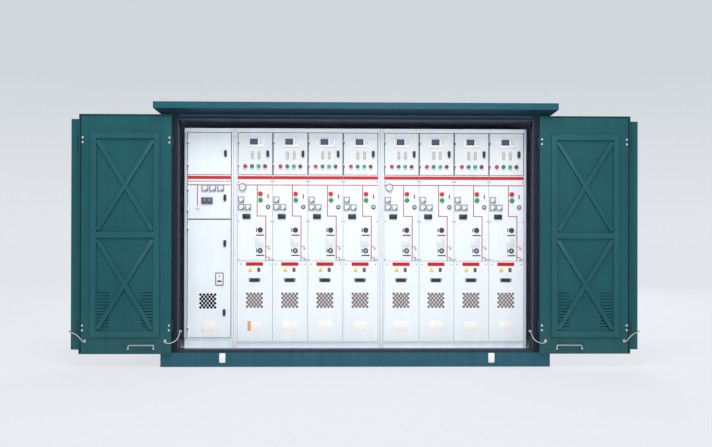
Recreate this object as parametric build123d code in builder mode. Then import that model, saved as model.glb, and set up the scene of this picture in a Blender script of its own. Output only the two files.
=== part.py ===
"""Outdoor switching station: a steel housing with folding doors over a row of switchgear cabinets.

Millimetres. +X to the right and -Y to the front as a person faces the open doors, +Z up.
The origin is on the ground under the middle of the housing.
"""
import os
from math import atan2, degrees, hypot, pi, radians, sin, tan

from build123d import *

os.makedirs("parts", exist_ok=True)

# Housing body, built round the cabinet row
row_side_gap = 28.0
row_top_gap = 65.0
rear_aisle = 360.0
base_height = 140.0
floor_thickness = 10.0
sill_height = 20.0
lintel_height = 49.0
post_width = 174.5
post_depth = 100.0
wall_thickness = 40.0
ceiling_thickness = 10.0

# Base channels
channel_flange = 70.0
channel_web = 10.0
cross_member_share = 1 / 6

# Roof cap of folded sheet: a flared eave, an upright fascia and a low hip
eave_overhang_side = 55.0
eave_overhang_front = 120.0
eave_rise = 47.0
fascia_height = 64.0
hip_rise = 28.0
hip_inset = 600.0
roof_sheet = 4.0

# Folding door leaves, folded back beside the opening
leaf_thickness = 30.0
leaf_edge_round = 4.0
leaf_gap = 8.0
front_leaf_width = 893.0
front_leaf_drop = 8.0
front_leaf_top_lap = 46.0
front_leaf_side_lap = 64.0
back_leaf_width = 850.0
back_leaf_side_gap = 17.5

# Stiffening frame and cross braces on each leaf
stile_width = 58.0
brace_width = 42.0
brace_depth = 18.0
brace_setback = 22.0
frame_margin_side = 112.0
frame_margin_top = 180.0
frame_margin_bottom = 165.0

# Hinges of the leaves
leaf_barrel_radius = 9.0
leaf_barrel_length = 110.0
leaf_barrel_gap = 1.0
leaf_tab_width = 8.0
leaf_hinge_shares = (0.115, 0.885)

# Grab handles at the foot of the front leaves
handle_length = 245.0
handle_radius = 7.0
handle_standoff = 24.0
handle_drop = 34.0
handle_bend = 16.0
handle_foot = 18.0
handle_height = 88.0
handle_place_share = 0.32

# Louvres pressed into the lower panel of each front leaf
louvre_width = 108.0
louvre_slot = 14.0
louvre_pitch = 30.0
louvre_depth = 4.0
louvre_count = 12
louvre_side_gap = 16.0
louvre_foot_gap = 30.0

# Dark frame round the doorway
trim_width = 36.0
trim_thickness = 6.0

# Earth studs and the cords between them
stud_radius = 9.0
stud_length = 14.0
stud_inset = 58.0
front_stud_height = 125.0
lug_reach = 24.0
lug_length = 24.0
lug_height = 20.0
lug_rise = 213.0
reveal_lug_inset = 28.0
edge_lug_inset = 3.0
strap_diameter = 8.0
strap_sides = 6
run_share = 0.45

# Cabinet row
cabinet_height = 2200.0
cabinet_depth = 850.0
cabinet_setback = 150.0
sheet_thickness = 15.0
door_thickness = 20.0
door_sheet = 2.0
door_back_gap = 6.0
door_gap = 6.0
door_side_gap = 16.0
panel_seam = 4.0
header_height = 40.0
filler_width = 59.0
filler_depth = 60.0
end_panel_width = 25.0

# Voltage transformer cabinet at the left end
vt_width = 467.0
vt_stile_width = 26.5
vt_plinth_height = 114.0
vt_meter_door_height = 369.0
vt_strip_height = 59.0

# Switchgear units in two banks
unit_width = 350.0
units_per_bank = 4
plinth_height = 78.0
plinth_recess = 20.0
cover_height = 800.0
relay_door_height = 414.0
relay_box_depth = 400.0

# Lift-off hinges of the cabinet doors
pin_radius = 4.0
pin_clearance = 0.3
knuckle_radius = 6.5
knuckle_length = 22.0
knuckle_face_gap = 0.5
hinge_plate_thickness = 3.0
hinge_leaf_width = 24.0
hinge_leaf_thickness = 4.0
short_hinge_shares = (0.22, 0.78)
tall_hinge_shares = (0.08, 0.92)

# Sides of the small turned fittings and of the drive sockets' bores
fitting_sides = 16
hexagon_sides = 6

# Fittings on the relay doors
bezel_width = 168.0
bezel_height = 85.0
bezel_depth = 10.0
bezel_spot_shares = (0.511, 0.235)
strip_width = 22.0
strip_height = 70.0
strip_depth = 8.0
strip_spots_shares = ((0.418, 0.535), (0.605, 0.535))
lock_width = 26.0
lock_height = 66.0
lock_depth = 12.0
relay_lock_spot_shares = (0.855, 0.504)
button_radius = 19.0
button_depth = 14.0
button_spots_shares = ((0.219, 0.802), (0.412, 0.802), (0.599, 0.802), (0.781, 0.802))

# Instruments on the mimic panels
meter_size = 59.0
meter_depth = 12.0
meter_spots_shares = ((0.105, 0.287), (0.105, 0.375), (0.298, 0.375))
display_width = 77.0
display_height = 47.0
display_spot_shares = (0.257, 0.483)
lamp_radius = 24.0
lamp_depth = 16.0
lamp_spots_shares = ((0.65, 0.218), (0.655, 0.291))
selector_radius = 22.0
selector_depth = 20.0
selector_spot_shares = (0.866, 0.371)
socket_radius = 26.0
socket_bore_radius = 14.0
socket_depth = 10.0
socket_spots_shares = ((0.647, 0.641), (0.645, 0.881))
gauge_radius = 37.0
gauge_depth = 24.0
gauge_spot_shares = (0.145, 0.141)

# Fittings of the voltage transformer doors
vt_lock_spots_shares = ((0.87, 0.5),)
vt_meter_lock_shares = ((0.86, 0.44),)
vt_lower_lock_shares = ((0.86, 0.205), (0.85, 0.79))
vt_meter_spots_shares = ((0.435, 0.18), (0.6, 0.18), (0.77, 0.18))
vt_display_width = 111.0
vt_display_height = 65.0
vt_display_spot_shares = (0.48, 0.52)

# Pull recesses of the cable covers
pull_width = 100.0
pull_height = 32.0
pull_depth = 12.0
pull_spot_shares = (0.487, 0.236)

# Heights worked out from the sizes above
floor_top = base_height + floor_thickness
opening_low = floor_top + sill_height
opening_high = floor_top + cabinet_height + row_top_gap
wall_top = opening_high + lintel_height
eave_z = wall_top + eave_rise
fascia_top = eave_z + fascia_height
cabinet_top = floor_top + cabinet_height
header_low = cabinet_top - header_height
relay_door_low = header_low - door_gap - relay_door_height
deck_z = relay_door_low - door_gap
cover_low = floor_top + plinth_height
mimic_low = cover_low + cover_height + panel_seam
vt_meter_door_high = deck_z - vt_strip_height - door_gap
vt_meter_door_low = vt_meter_door_high - vt_meter_door_height
vt_lower_door_low = floor_top + vt_plinth_height + door_gap
vt_lower_door_high = vt_meter_door_low - door_gap
vt_lower_door_height = vt_lower_door_high - vt_lower_door_low

# Places across and from front to back
bank_width = units_per_bank * unit_width
row_width = vt_width + filler_width + bank_width + filler_width + bank_width + end_panel_width
opening_half = row_width / 2 + row_side_gap
body_width = 2 * (opening_half + post_width)
body_depth = cabinet_setback + cabinet_depth + rear_aisle + wall_thickness
body_front = -body_depth / 2
body_rear = body_depth / 2
inner_half = body_width / 2 - wall_thickness
post_inner = body_depth / 2 - post_depth
rear_inner = body_rear - wall_thickness
door_front = body_front + cabinet_setback
frame_front = door_front + door_thickness + door_back_gap
cabinet_rear = door_front + cabinet_depth
relay_box_rear = frame_front + relay_box_depth
vt_left = -row_width / 2
vt_right = vt_left + vt_width
vt_door_left = vt_left + vt_stile_width + knuckle_radius
vt_door_width = vt_right - door_side_gap / 2 - vt_door_left
bank_lefts = (vt_right + filler_width, vt_right + filler_width + bank_width + filler_width)
unit_lefts = [left + index * unit_width for left in bank_lefts for index in range(units_per_bank)]
front_leaf_back = body_front - leaf_gap
front_leaf_face = front_leaf_back - leaf_thickness
back_leaf_face = front_leaf_back + leaf_gap
back_leaf_back = back_leaf_face + leaf_thickness
front_leaf_low = base_height - front_leaf_drop
front_leaf_height = opening_high + front_leaf_top_lap - front_leaf_low
front_leaf_start = opening_half + front_leaf_side_lap
back_leaf_height = opening_high - opening_low
back_leaf_start = body_width / 2 + back_leaf_side_gap
hinge_pin_y = door_front - knuckle_radius - knuckle_face_gap


def slab(low, high, mode=Mode.ADD):
    """A plate between two corners: its plan is drawn at its foot and pulled up."""
    with BuildSketch(Plane.XY.offset(low[2])) as plan:
        with Locations(((low[0] + high[0]) / 2, (low[1] + high[1]) / 2)):
            Rectangle(high[0] - low[0], high[1] - low[1])
    extrude(plan.sketch, amount=high[2] - low[2], mode=mode)


def face_plane(y):
    """An upright plane facing the front, drawn in x and z."""
    return Plane((0, y, 0), x_dir=(1, 0, 0), z_dir=(0, -1, 0))


def spot(left, top, width, height, shares):
    """The place on an upright panel of a pair of shares, counted from its top left corner."""
    return (left + width * shares[0], top - height * shares[1])


# Base: outer channels along the front and back, then side channels and cross members between them
def channel_section(depth, height, flange, web):
    """A channel lying on its web side, with its open side towards +X of the sketch."""
    Rectangle(flange, height, align=(Align.MIN, Align.MIN))
    with Locations((web, web)):
        Rectangle(depth, height - 2 * web, align=(Align.MIN, Align.MIN), mode=Mode.SUBTRACT)


with BuildPart() as base_long_channels:
    with BuildSketch(Plane((-body_width / 2, body_front, 0), x_dir=(0, 1, 0), z_dir=(1, 0, 0))):
        channel_section(channel_flange, base_height, channel_flange, channel_web)
    extrude(amount=body_width)
    mirror(about=Plane.XZ)
base_long_channels.part.label = "base_long_channels"
export_step(base_long_channels.part, "parts/base_long_channels.step")

cross_length = body_depth - 2 * channel_flange
cross_x = body_width * cross_member_share
with BuildPart() as base_cross_channels:
    cross_start = (-body_width / 2, body_rear - channel_flange, 0)
    with BuildSketch(Plane(cross_start, x_dir=(1, 0, 0), z_dir=(0, -1, 0))):
        channel_section(channel_flange, base_height, channel_flange, channel_web)
    extrude(amount=cross_length)
    with BuildSketch(Plane((-cross_x, body_rear - channel_flange, 0), x_dir=(1, 0, 0), z_dir=(0, -1, 0))):
        channel_section(channel_flange, base_height, channel_flange, channel_web)
    extrude(amount=cross_length)
    mirror(about=Plane.YZ)
base_cross_channels.part.label = "base_cross_channels"
export_step(base_cross_channels.part, "parts/base_cross_channels.step")

# Floor plate, notched round the rear posts
with BuildPart() as floor_plate:
    with BuildSketch(Plane.XY.offset(base_height)):
        with Locations((0, (rear_inner - post_inner) / 2)):
            Rectangle(2 * inner_half, rear_inner + post_inner)
        with Locations((opening_half, post_inner), (-inner_half, post_inner)):
            corner_align = (Align.MIN, Align.MIN)
            Rectangle(inner_half - opening_half, post_depth, align=corner_align, mode=Mode.SUBTRACT)
    extrude(amount=floor_thickness)
floor_plate.part.label = "floor_plate"
export_step(floor_plate.part, "parts/floor_plate.step")

# Corner posts, sill and lintel frame the doorway; the walls close the other sides
post_middle_x = (body_width - post_width) / 2
post_middle_y = (body_depth - post_depth) / 2
with BuildPart() as corner_posts:
    with BuildSketch(Plane.XY.offset(base_height)):
        with GridLocations(2 * post_middle_x, 2 * post_middle_y, 2, 2):
            Rectangle(post_width, post_depth)
    extrude(amount=wall_top - base_height)
corner_posts.part.label = "corner_posts"
export_step(corner_posts.part, "parts/corner_posts.step")

with BuildPart() as door_sill:
    slab((-opening_half, body_front, base_height), (opening_half, -post_inner, opening_low))
door_sill.part.label = "door_sill"
export_step(door_sill.part, "parts/door_sill.step")

with BuildPart() as lintel:
    slab((-opening_half, body_front, opening_high), (opening_half, -post_inner, wall_top))
lintel.part.label = "lintel"
export_step(lintel.part, "parts/lintel.step")

with BuildPart() as door_frame_posts:
    trim_front = body_front - trim_thickness
    slab((opening_half, trim_front, opening_low), (opening_half + trim_width, body_front, opening_high))
    mirror(about=Plane.YZ)
door_frame_posts.part.label = "door_frame_posts"
export_step(door_frame_posts.part, "parts/door_frame_posts.step")

with BuildPart() as door_frame_head:
    head_half = opening_half + trim_width
    slab((-head_half, trim_front, opening_high), (head_half, body_front, opening_high + trim_width))
door_frame_head.part.label = "door_frame_head"
export_step(door_frame_head.part, "parts/door_frame_head.step")

with BuildPart() as side_walls:
    slab((inner_half, -post_inner, base_height), (body_width / 2, post_inner, wall_top))
    mirror(about=Plane.YZ)
side_walls.part.label = "side_walls"
export_step(side_walls.part, "parts/side_walls.step")

with BuildPart() as rear_wall:
    slab((-opening_half, rear_inner, base_height), (opening_half, body_rear, wall_top))
rear_wall.part.label = "rear_wall"
export_step(rear_wall.part, "parts/rear_wall.step")

with BuildPart() as ceiling_panel:
    slab((-inner_half, -post_inner, wall_top - ceiling_thickness), (inner_half, post_inner, wall_top))
ceiling_panel.part.label = "ceiling_panel"
export_step(ceiling_panel.part, "parts/ceiling_panel.step")


# Roof cap: the sheet flares out to the eave, stands up as the fascia and closes in a low hip.
# The section along the housing and the section across it meet in flat faces.
def roof_section(foot, overhang, inset):
    half_foot = foot / 2 - inset
    half_eave = foot / 2 + overhang - inset
    top = fascia_top - inset
    half_hip = half_eave - hip_inset
    Polygon(
        (-half_foot, wall_top),
        (half_foot, wall_top),
        (half_eave, eave_z),
        (half_eave, top),
        (half_hip, top + hip_rise),
        (-half_hip, top + hip_rise),
        (-half_eave, top),
        (-half_eave, eave_z),
        align=None,
    )


def roof_form(inset):
    with BuildPart() as form:
        with BuildSketch(Plane.XZ):
            roof_section(body_width, eave_overhang_side, inset)
        extrude(amount=body_depth, both=True)
        with BuildSketch(Plane.YZ):
            roof_section(body_depth, eave_overhang_front, inset)
        extrude(amount=body_width, both=True, mode=Mode.INTERSECT)
    return form.part


roof_outside = roof_form(0)
roof_inside = roof_form(roof_sheet)
with BuildPart() as roof_cap:
    add(roof_outside)
    add(roof_inside, mode=Mode.SUBTRACT)
roof_cap.part.label = "roof_cap"
export_step(roof_cap.part, "parts/roof_cap.step")


# Folding leaves: each is a closed panel with rounded edges
def leaf_panel(start, width, low, height, face_y):
    with BuildSketch(face_plane(face_y + leaf_thickness)) as outline:
        with Locations((start + width / 2, low + height / 2)):
            RectangleRounded(width, height, leaf_edge_round)
    extrude(outline.sketch, amount=leaf_thickness)


sides = {"left": -1, "right": 1}
lower_panel_low = front_leaf_low + frame_margin_bottom + stile_width
louvre_middle = lower_panel_low + louvre_foot_gap + louvre_count * louvre_pitch / 2
leaf_panel_width = front_leaf_width - 2 * (frame_margin_side + stile_width)
louvre_spread = leaf_panel_width - 2 * louvre_side_gap - louvre_width
for side, sign in sides.items():
    with BuildPart() as front_leaf:
        start = min(sign * front_leaf_start, sign * (front_leaf_start + front_leaf_width))
        leaf_panel(start, front_leaf_width, front_leaf_low, front_leaf_height, front_leaf_face)
        with BuildSketch(face_plane(front_leaf_face)):
            with Locations((start + front_leaf_width / 2, louvre_middle)):
                with GridLocations(louvre_spread, louvre_pitch, 2, louvre_count):
                    Rectangle(louvre_width, louvre_slot)
        extrude(amount=-louvre_depth, mode=Mode.SUBTRACT)
    front_leaf.part.label = side + "_front_leaf"
    export_step(front_leaf.part, "parts/" + side + "_front_leaf.step")

    with BuildPart() as back_leaf:
        start = min(sign * back_leaf_start, sign * (back_leaf_start + back_leaf_width))
        leaf_panel(start, back_leaf_width, opening_low, back_leaf_height, back_leaf_face)
    back_leaf.part.label = side + "_back_leaf"
    export_step(back_leaf.part, "parts/" + side + "_back_leaf.step")


# Stiffeners: two stiles, three rails and a pair of crossed bars in each of the two panels
def leaf_stiffeners(middle_x, width, low, height):
    frame_width = width - 2 * frame_margin_side
    frame_low = low + frame_margin_bottom
    frame_high = low + height - frame_margin_top
    frame_middle = (frame_low + frame_high) / 2
    panel_width = frame_width - 2 * stile_width
    panel_height = (frame_high - frame_low - 3 * stile_width) / 2
    panel_step = panel_height + stile_width
    with Locations((middle_x, frame_middle)):
        Rectangle(frame_width, frame_high - frame_low)
        with GridLocations(0, panel_step, 1, 2):
            Rectangle(panel_width, panel_height, mode=Mode.SUBTRACT)
    brace_length = hypot(panel_width, panel_height) - 2 * brace_setback
    lean = degrees(atan2(panel_height, panel_width))
    with Locations((middle_x, frame_middle + panel_step / 2), (middle_x, frame_middle - panel_step / 2)):
        Rectangle(brace_length, brace_width, rotation=lean)
        Rectangle(brace_length, brace_width, rotation=-lean)


for side, sign in sides.items():
    with BuildPart() as leaf_frame:
        middle = sign * (front_leaf_start + front_leaf_width / 2)
        with BuildSketch(face_plane(front_leaf_face)):
            leaf_stiffeners(middle, front_leaf_width, front_leaf_low, front_leaf_height)
        extrude(amount=brace_depth)
        middle = sign * (back_leaf_start + back_leaf_width / 2)
        with BuildSketch(face_plane(back_leaf_back)):
            leaf_stiffeners(middle, back_leaf_width, opening_low, back_leaf_height)
        extrude(amount=-brace_depth)
    leaf_frame.part.label = side + "_leaf_stiffeners"
    export_step(leaf_frame.part, "parts/" + side + "_leaf_stiffeners.step")


# Leaf hinges: a barrel beside the leaf's edge, a tab to that edge and a tab back to what carries it
def leaf_hinge(barrel_x, edge_x, seat_y, z):
    barrel_y = front_leaf_face + leaf_thickness / 2
    tab_low = min(barrel_x, edge_x)
    tab_high = max(barrel_x, edge_x)
    foot = z - leaf_barrel_length / 2
    top = z + leaf_barrel_length / 2
    with BuildSketch(Plane.XY.offset(foot)) as section:
        with Locations((barrel_x, barrel_y)):
            Circle(leaf_barrel_radius)
        with Locations(((tab_low + tab_high) / 2, barrel_y)):
            Rectangle(tab_high - tab_low, leaf_tab_width)
        with Locations((barrel_x, (barrel_y + seat_y) / 2)):
            Rectangle(leaf_tab_width, seat_y - barrel_y)
    extrude(section.sketch, amount=top - foot)


with BuildPart() as leaf_hinges:
    for share in leaf_hinge_shares:
        hinge_z = front_leaf_low + front_leaf_height * share
        inner_edge = front_leaf_start
        outer_edge = front_leaf_start + front_leaf_width
        barrel_step = leaf_barrel_radius + leaf_barrel_gap
        for sign in sides.values():
            leaf_hinge(sign * (inner_edge - barrel_step), sign * inner_edge, body_front, hinge_z)
            leaf_hinge(sign * (outer_edge + barrel_step), sign * outer_edge, back_leaf_face, hinge_z)
leaf_hinges.part.label = "leaf_hinges"
export_step(leaf_hinges.part, "parts/leaf_hinges.step")

# Grab handles: a bent rod at the foot of each front leaf, its legs turned down to two feet on the leaf
with BuildPart() as leaf_handles:
    for sign in sides.values():
        handle_x = sign * (front_leaf_start + front_leaf_width * handle_place_share)
        handle_z = front_leaf_low + handle_height
        foot_z = handle_z - handle_drop
        half = handle_length / 2
        handle_plane = face_plane(front_leaf_face - handle_standoff)
        with BuildLine(handle_plane) as bend:
            FilletPolyline(
                (handle_x - half, foot_z),
                (handle_x - half, handle_z),
                (handle_x + half, handle_z),
                (handle_x + half, foot_z),
                radius=handle_bend,
            )
        with BuildSketch(Plane(bend.line @ 0, z_dir=bend.line % 0)):
            RegularPolygon(handle_radius, fitting_sides)
        sweep()
        with BuildSketch(face_plane(front_leaf_face)):
            with Locations((handle_x - half, foot_z), (handle_x + half, foot_z)):
                Rectangle(handle_foot, handle_foot)
        extrude(amount=handle_standoff + handle_radius)
leaf_handles.part.label = "leaf_handles"
export_step(leaf_handles.part, "parts/leaf_handles.step")

# Cabinet row: the voltage transformer cabinet is a box of slabs with a compartment behind each door
vt_inner_left = vt_left + sheet_thickness
vt_inner_right = vt_right - sheet_thickness
vt_floor = floor_top + vt_plinth_height
with BuildPart() as vt_side_panels:
    slab((vt_left, frame_front, vt_floor), (vt_inner_left, cabinet_rear, header_low))
    slab((vt_inner_right, frame_front, vt_floor), (vt_right, cabinet_rear, header_low))
vt_side_panels.part.label = "vt_side_panels"
export_step(vt_side_panels.part, "parts/vt_side_panels.step")

vt_shelf_rear = cabinet_rear - sheet_thickness
vt_lower_shelf = vt_lower_door_high + door_gap / 2 - sheet_thickness / 2
vt_upper_shelf = deck_z - sheet_thickness
with BuildPart() as vt_shelves:
    for shelf_z in (vt_floor, vt_lower_shelf, vt_upper_shelf):
        shelf_top = shelf_z + sheet_thickness
        slab((vt_inner_left, frame_front, shelf_z), (vt_inner_right, vt_shelf_rear, shelf_top))
vt_shelves.part.label = "vt_shelves"
export_step(vt_shelves.part, "parts/vt_shelves.step")

with BuildPart() as vt_back_panel:
    slab((vt_inner_left, vt_shelf_rear, vt_floor), (vt_inner_right, cabinet_rear, header_low))
vt_back_panel.part.label = "vt_back_panel"
export_step(vt_back_panel.part, "parts/vt_back_panel.step")

with BuildPart() as vt_fascia_strip:
    strip_low = deck_z - vt_strip_height
    slab((vt_door_left, door_front, strip_low), (vt_door_left + vt_door_width, frame_front, deck_z))
vt_fascia_strip.part.label = "vt_fascia_strip"
export_step(vt_fascia_strip.part, "parts/vt_fascia_strip.step")

# Plinths under all cabinets, headers over them and filler posts between them
with BuildPart() as cabinet_plinths:
    slab((vt_left, door_front + plinth_recess, floor_top), (vt_right, cabinet_rear, vt_floor))
    for left in bank_lefts:
        plinth_front = door_front + plinth_recess
        slab((left, plinth_front, floor_top), (left + bank_width, cabinet_rear, cover_low))
cabinet_plinths.part.label = "cabinet_plinths"
export_step(cabinet_plinths.part, "parts/cabinet_plinths.step")

with BuildPart() as cabinet_headers:
    slab((vt_left, door_front, header_low), (vt_right, cabinet_rear, cabinet_top))
    for left in bank_lefts:
        slab((left, door_front, header_low), (left + bank_width, relay_box_rear, cabinet_top))
cabinet_headers.part.label = "cabinet_headers"
export_step(cabinet_headers.part, "parts/cabinet_headers.step")

with BuildPart() as filler_posts:
    for left in (vt_right, bank_lefts[1] - filler_width):
        slab((left, door_front, floor_top), (left + filler_width, door_front + filler_depth, cabinet_top))
    slab((vt_left, door_front, vt_floor), (vt_left + vt_stile_width, frame_front, header_low))
    row_right = bank_lefts[1] + bank_width
    slab((row_right, door_front, floor_top), (row_right + end_panel_width, cabinet_rear, cabinet_top))
filler_posts.part.label = "filler_posts"
export_step(filler_posts.part, "parts/filler_posts.step")

# Gas tank and cable housing of each bank, closed all round
with BuildPart() as bank_housings:
    for left in bank_lefts:
        slab((left, frame_front, cover_low), (left + bank_width, cabinet_rear, deck_z))
bank_housings.part.label = "bank_housings"
export_step(bank_housings.part, "parts/bank_housings.step")

# Relay boxes on the bank housings: partitions between the units and a back
with BuildPart() as relay_partitions:
    for left in bank_lefts:
        for index in range(units_per_bank + 1):
            line = left + index * unit_width
            low_x = max(line - sheet_thickness / 2, left)
            high_x = min(line + sheet_thickness / 2, left + bank_width)
            slab((low_x, frame_front, deck_z), (high_x, relay_box_rear - sheet_thickness, header_low))
relay_partitions.part.label = "relay_partitions"
export_step(relay_partitions.part, "parts/relay_partitions.step")

with BuildPart() as relay_box_backs:
    for left in bank_lefts:
        back_front = relay_box_rear - sheet_thickness
        slab((left, back_front, deck_z), (left + bank_width, relay_box_rear, header_low))
relay_box_backs.part.label = "relay_box_backs"
export_step(relay_box_backs.part, "parts/relay_box_backs.step")

# Fixed front panels of the units: the mimic panel above and the cable cover with its pull below
panel_width = unit_width - panel_seam
mimic_height = deck_z - mimic_low
with BuildPart() as mimic_panels:
    for left in unit_lefts:
        low_x = left + panel_seam / 2
        slab((low_x, door_front, mimic_low), (low_x + panel_width, frame_front, deck_z))
mimic_panels.part.label = "mimic_panels"
export_step(mimic_panels.part, "parts/mimic_panels.step")

cover_high = cover_low + cover_height
with BuildPart() as cable_covers:
    for left in unit_lefts:
        low_x = left + panel_seam / 2
        slab((low_x, door_front, cover_low), (low_x + panel_width, frame_front, cover_high))
        with BuildSketch(face_plane(door_front)):
            with Locations(spot(left, cover_high, unit_width, cover_height, pull_spot_shares)):
                SlotOverall(pull_width, pull_height)
        extrude(amount=-pull_depth, mode=Mode.SUBTRACT)
cable_covers.part.label = "cable_covers"
export_step(cable_covers.part, "parts/cable_covers.step")


# Instruments seated on the mimic panels
def unit_spots(shares_list):
    spots = []
    for left in unit_lefts:
        spots += [spot(left, deck_z, unit_width, mimic_height, shares) for shares in shares_list]
    return spots


with BuildPart() as panel_meters:
    with BuildSketch(face_plane(door_front)):
        with Locations(*unit_spots(meter_spots_shares)):
            Rectangle(meter_size, meter_size)
        with Locations(*unit_spots((display_spot_shares,))):
            Rectangle(display_width, display_height)
    extrude(amount=meter_depth)
panel_meters.part.label = "panel_meters"
export_step(panel_meters.part, "parts/panel_meters.step")

with BuildPart() as panel_lamps:
    with BuildSketch(face_plane(door_front)):
        with Locations(*unit_spots(lamp_spots_shares)):
            RegularPolygon(lamp_radius, fitting_sides)
    extrude(amount=lamp_depth)
panel_lamps.part.label = "panel_lamps"
export_step(panel_lamps.part, "parts/panel_lamps.step")

with BuildPart() as selector_switches:
    with BuildSketch(face_plane(door_front)):
        with Locations(*unit_spots((selector_spot_shares,))):
            RegularPolygon(selector_radius, fitting_sides)
    extrude(amount=selector_depth)
selector_switches.part.label = "selector_switches"
export_step(selector_switches.part, "parts/selector_switches.step")

with BuildPart() as drive_sockets:
    with BuildSketch(face_plane(door_front)):
        with Locations(*unit_spots(socket_spots_shares)):
            RegularPolygon(socket_radius, fitting_sides)
            RegularPolygon(socket_bore_radius, hexagon_sides, mode=Mode.SUBTRACT)
    extrude(amount=socket_depth)
drive_sockets.part.label = "drive_sockets"
export_step(drive_sockets.part, "parts/drive_sockets.step")

with BuildPart() as pressure_gauges:
    with BuildSketch(face_plane(door_front)):
        for left in bank_lefts:
            with Locations(spot(left, deck_z, unit_width, mimic_height, gauge_spot_shares)):
                Circle(gauge_radius)
    extrude(amount=gauge_depth)
pressure_gauges.part.label = "pressure_gauges"
export_step(pressure_gauges.part, "parts/pressure_gauges.step")


# Hinged cabinet doors: a folded sheet pan with its fittings and the loose knuckles of its hinges
def knuckle_levels(low, height, hinge_shares):
    return [low + height * share for share in hinge_shares]


def door_pan(left, width, low, height, hinge_shares):
    slab((left, door_front, low), (left + width, door_front + door_thickness, low + height))
    inner_low = (left + door_sheet, door_front + door_sheet, low + door_sheet)
    inner_high = (left + width - door_sheet, door_front + door_thickness, low + height - door_sheet)
    slab(inner_low, inner_high, mode=Mode.SUBTRACT)
    for level in knuckle_levels(low, height, hinge_shares):
        with BuildSketch(Plane.XY.offset(level + pin_clearance)) as knuckle:
            with Locations((left, hinge_pin_y)):
                Circle(knuckle_radius)
            with Locations((left, door_front)):
                Rectangle(hinge_leaf_width, hinge_leaf_thickness, align=(Align.MIN, Align.MAX))
            with Locations((left, hinge_pin_y)):
                Circle(pin_radius + pin_clearance, mode=Mode.SUBTRACT)
        extrude(knuckle.sketch, amount=knuckle_length)


def door_locks(left, width, low, height, spots_shares):
    with BuildSketch(face_plane(door_front)) as outlines:
        for shares in spots_shares:
            with Locations(spot(left, low + height, width, height, shares)):
                SlotOverall(lock_height, lock_width, rotation=90)
    extrude(outlines.sketch, amount=lock_depth)


def raised_plates(spots, width, height, depth):
    with BuildSketch(face_plane(door_front)) as outlines:
        with Locations(*spots):
            Rectangle(width, height)
    extrude(outlines.sketch, amount=depth)


def raised_buttons(spots):
    with BuildSketch(face_plane(door_front)) as outlines:
        with Locations(*spots):
            RegularPolygon(button_radius, fitting_sides)
    extrude(outlines.sketch, amount=button_depth)


relay_door_width = unit_width - door_side_gap
for number, left in enumerate(unit_lefts, start=1):
    door_left = left + door_side_gap / 2
    with BuildPart() as relay_door:
        door_pan(door_left, relay_door_width, relay_door_low, relay_door_height, short_hinge_shares)
        door_locks(left, unit_width, relay_door_low, relay_door_height, (relay_lock_spot_shares,))
        top = relay_door_low + relay_door_height
        bezel_spot = spot(left, top, unit_width, relay_door_height, bezel_spot_shares)
        door_size = (unit_width, relay_door_height)
        strip_spots = [spot(left, top, *door_size, shares) for shares in strip_spots_shares]
        button_spots = [spot(left, top, *door_size, shares) for shares in button_spots_shares]
        raised_plates([bezel_spot], bezel_width, bezel_height, bezel_depth)
        raised_plates(strip_spots, strip_width, strip_height, strip_depth)
        raised_buttons(button_spots)
    relay_door.part.label = "relay_door_" + str(number)
    export_step(relay_door.part, "parts/relay_door_" + str(number) + ".step")

with BuildPart() as vt_upper_door:
    door_pan(vt_door_left, vt_door_width, relay_door_low, relay_door_height, short_hinge_shares)
    door_locks(vt_left, vt_width, relay_door_low, relay_door_height, vt_lock_spots_shares)
vt_upper_door.part.label = "vt_upper_door"
export_step(vt_upper_door.part, "parts/vt_upper_door.step")

with BuildPart() as vt_meter_door:
    door_pan(vt_door_left, vt_door_width, vt_meter_door_low, vt_meter_door_height, short_hinge_shares)
    door_locks(vt_left, vt_width, vt_meter_door_low, vt_meter_door_height, vt_meter_lock_shares)
    meter_door_place = (vt_left, vt_meter_door_high, vt_width, vt_meter_door_height)
    meter_spots = [spot(*meter_door_place, shares) for shares in vt_meter_spots_shares]
    display_spot = spot(*meter_door_place, vt_display_spot_shares)
    raised_plates(meter_spots, meter_size, meter_size, meter_depth)
    raised_plates([display_spot], vt_display_width, vt_display_height, meter_depth)
vt_meter_door.part.label = "vt_meter_door"
export_step(vt_meter_door.part, "parts/vt_meter_door.step")

with BuildPart() as vt_lower_door:
    door_pan(vt_door_left, vt_door_width, vt_lower_door_low, vt_lower_door_height, tall_hinge_shares)
    door_locks(vt_left, vt_width, vt_lower_door_low, vt_lower_door_height, vt_lower_lock_shares)
vt_lower_door.part.label = "vt_lower_door"
export_step(vt_lower_door.part, "parts/vt_lower_door.step")


# Fixed halves of the door hinges: a plate out of the frame, a lower knuckle and the pin it holds up
def fixed_hinge(door_left, level):
    knuckle_foot = level - knuckle_length
    with BuildSketch(Plane.XY.offset(knuckle_foot)) as knuckle:
        with Locations((door_left, hinge_pin_y)):
            Circle(knuckle_radius)
        with Locations((door_left - knuckle_radius, hinge_pin_y)):
            Rectangle(hinge_plate_thickness, frame_front - hinge_pin_y, align=(Align.MIN, Align.MIN))
    extrude(knuckle.sketch, amount=knuckle_length)
    with BuildSketch(Plane.XY.offset(level)) as pin:
        with Locations((door_left, hinge_pin_y)):
            Circle(pin_radius)
    extrude(pin.sketch, amount=knuckle_length)


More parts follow.
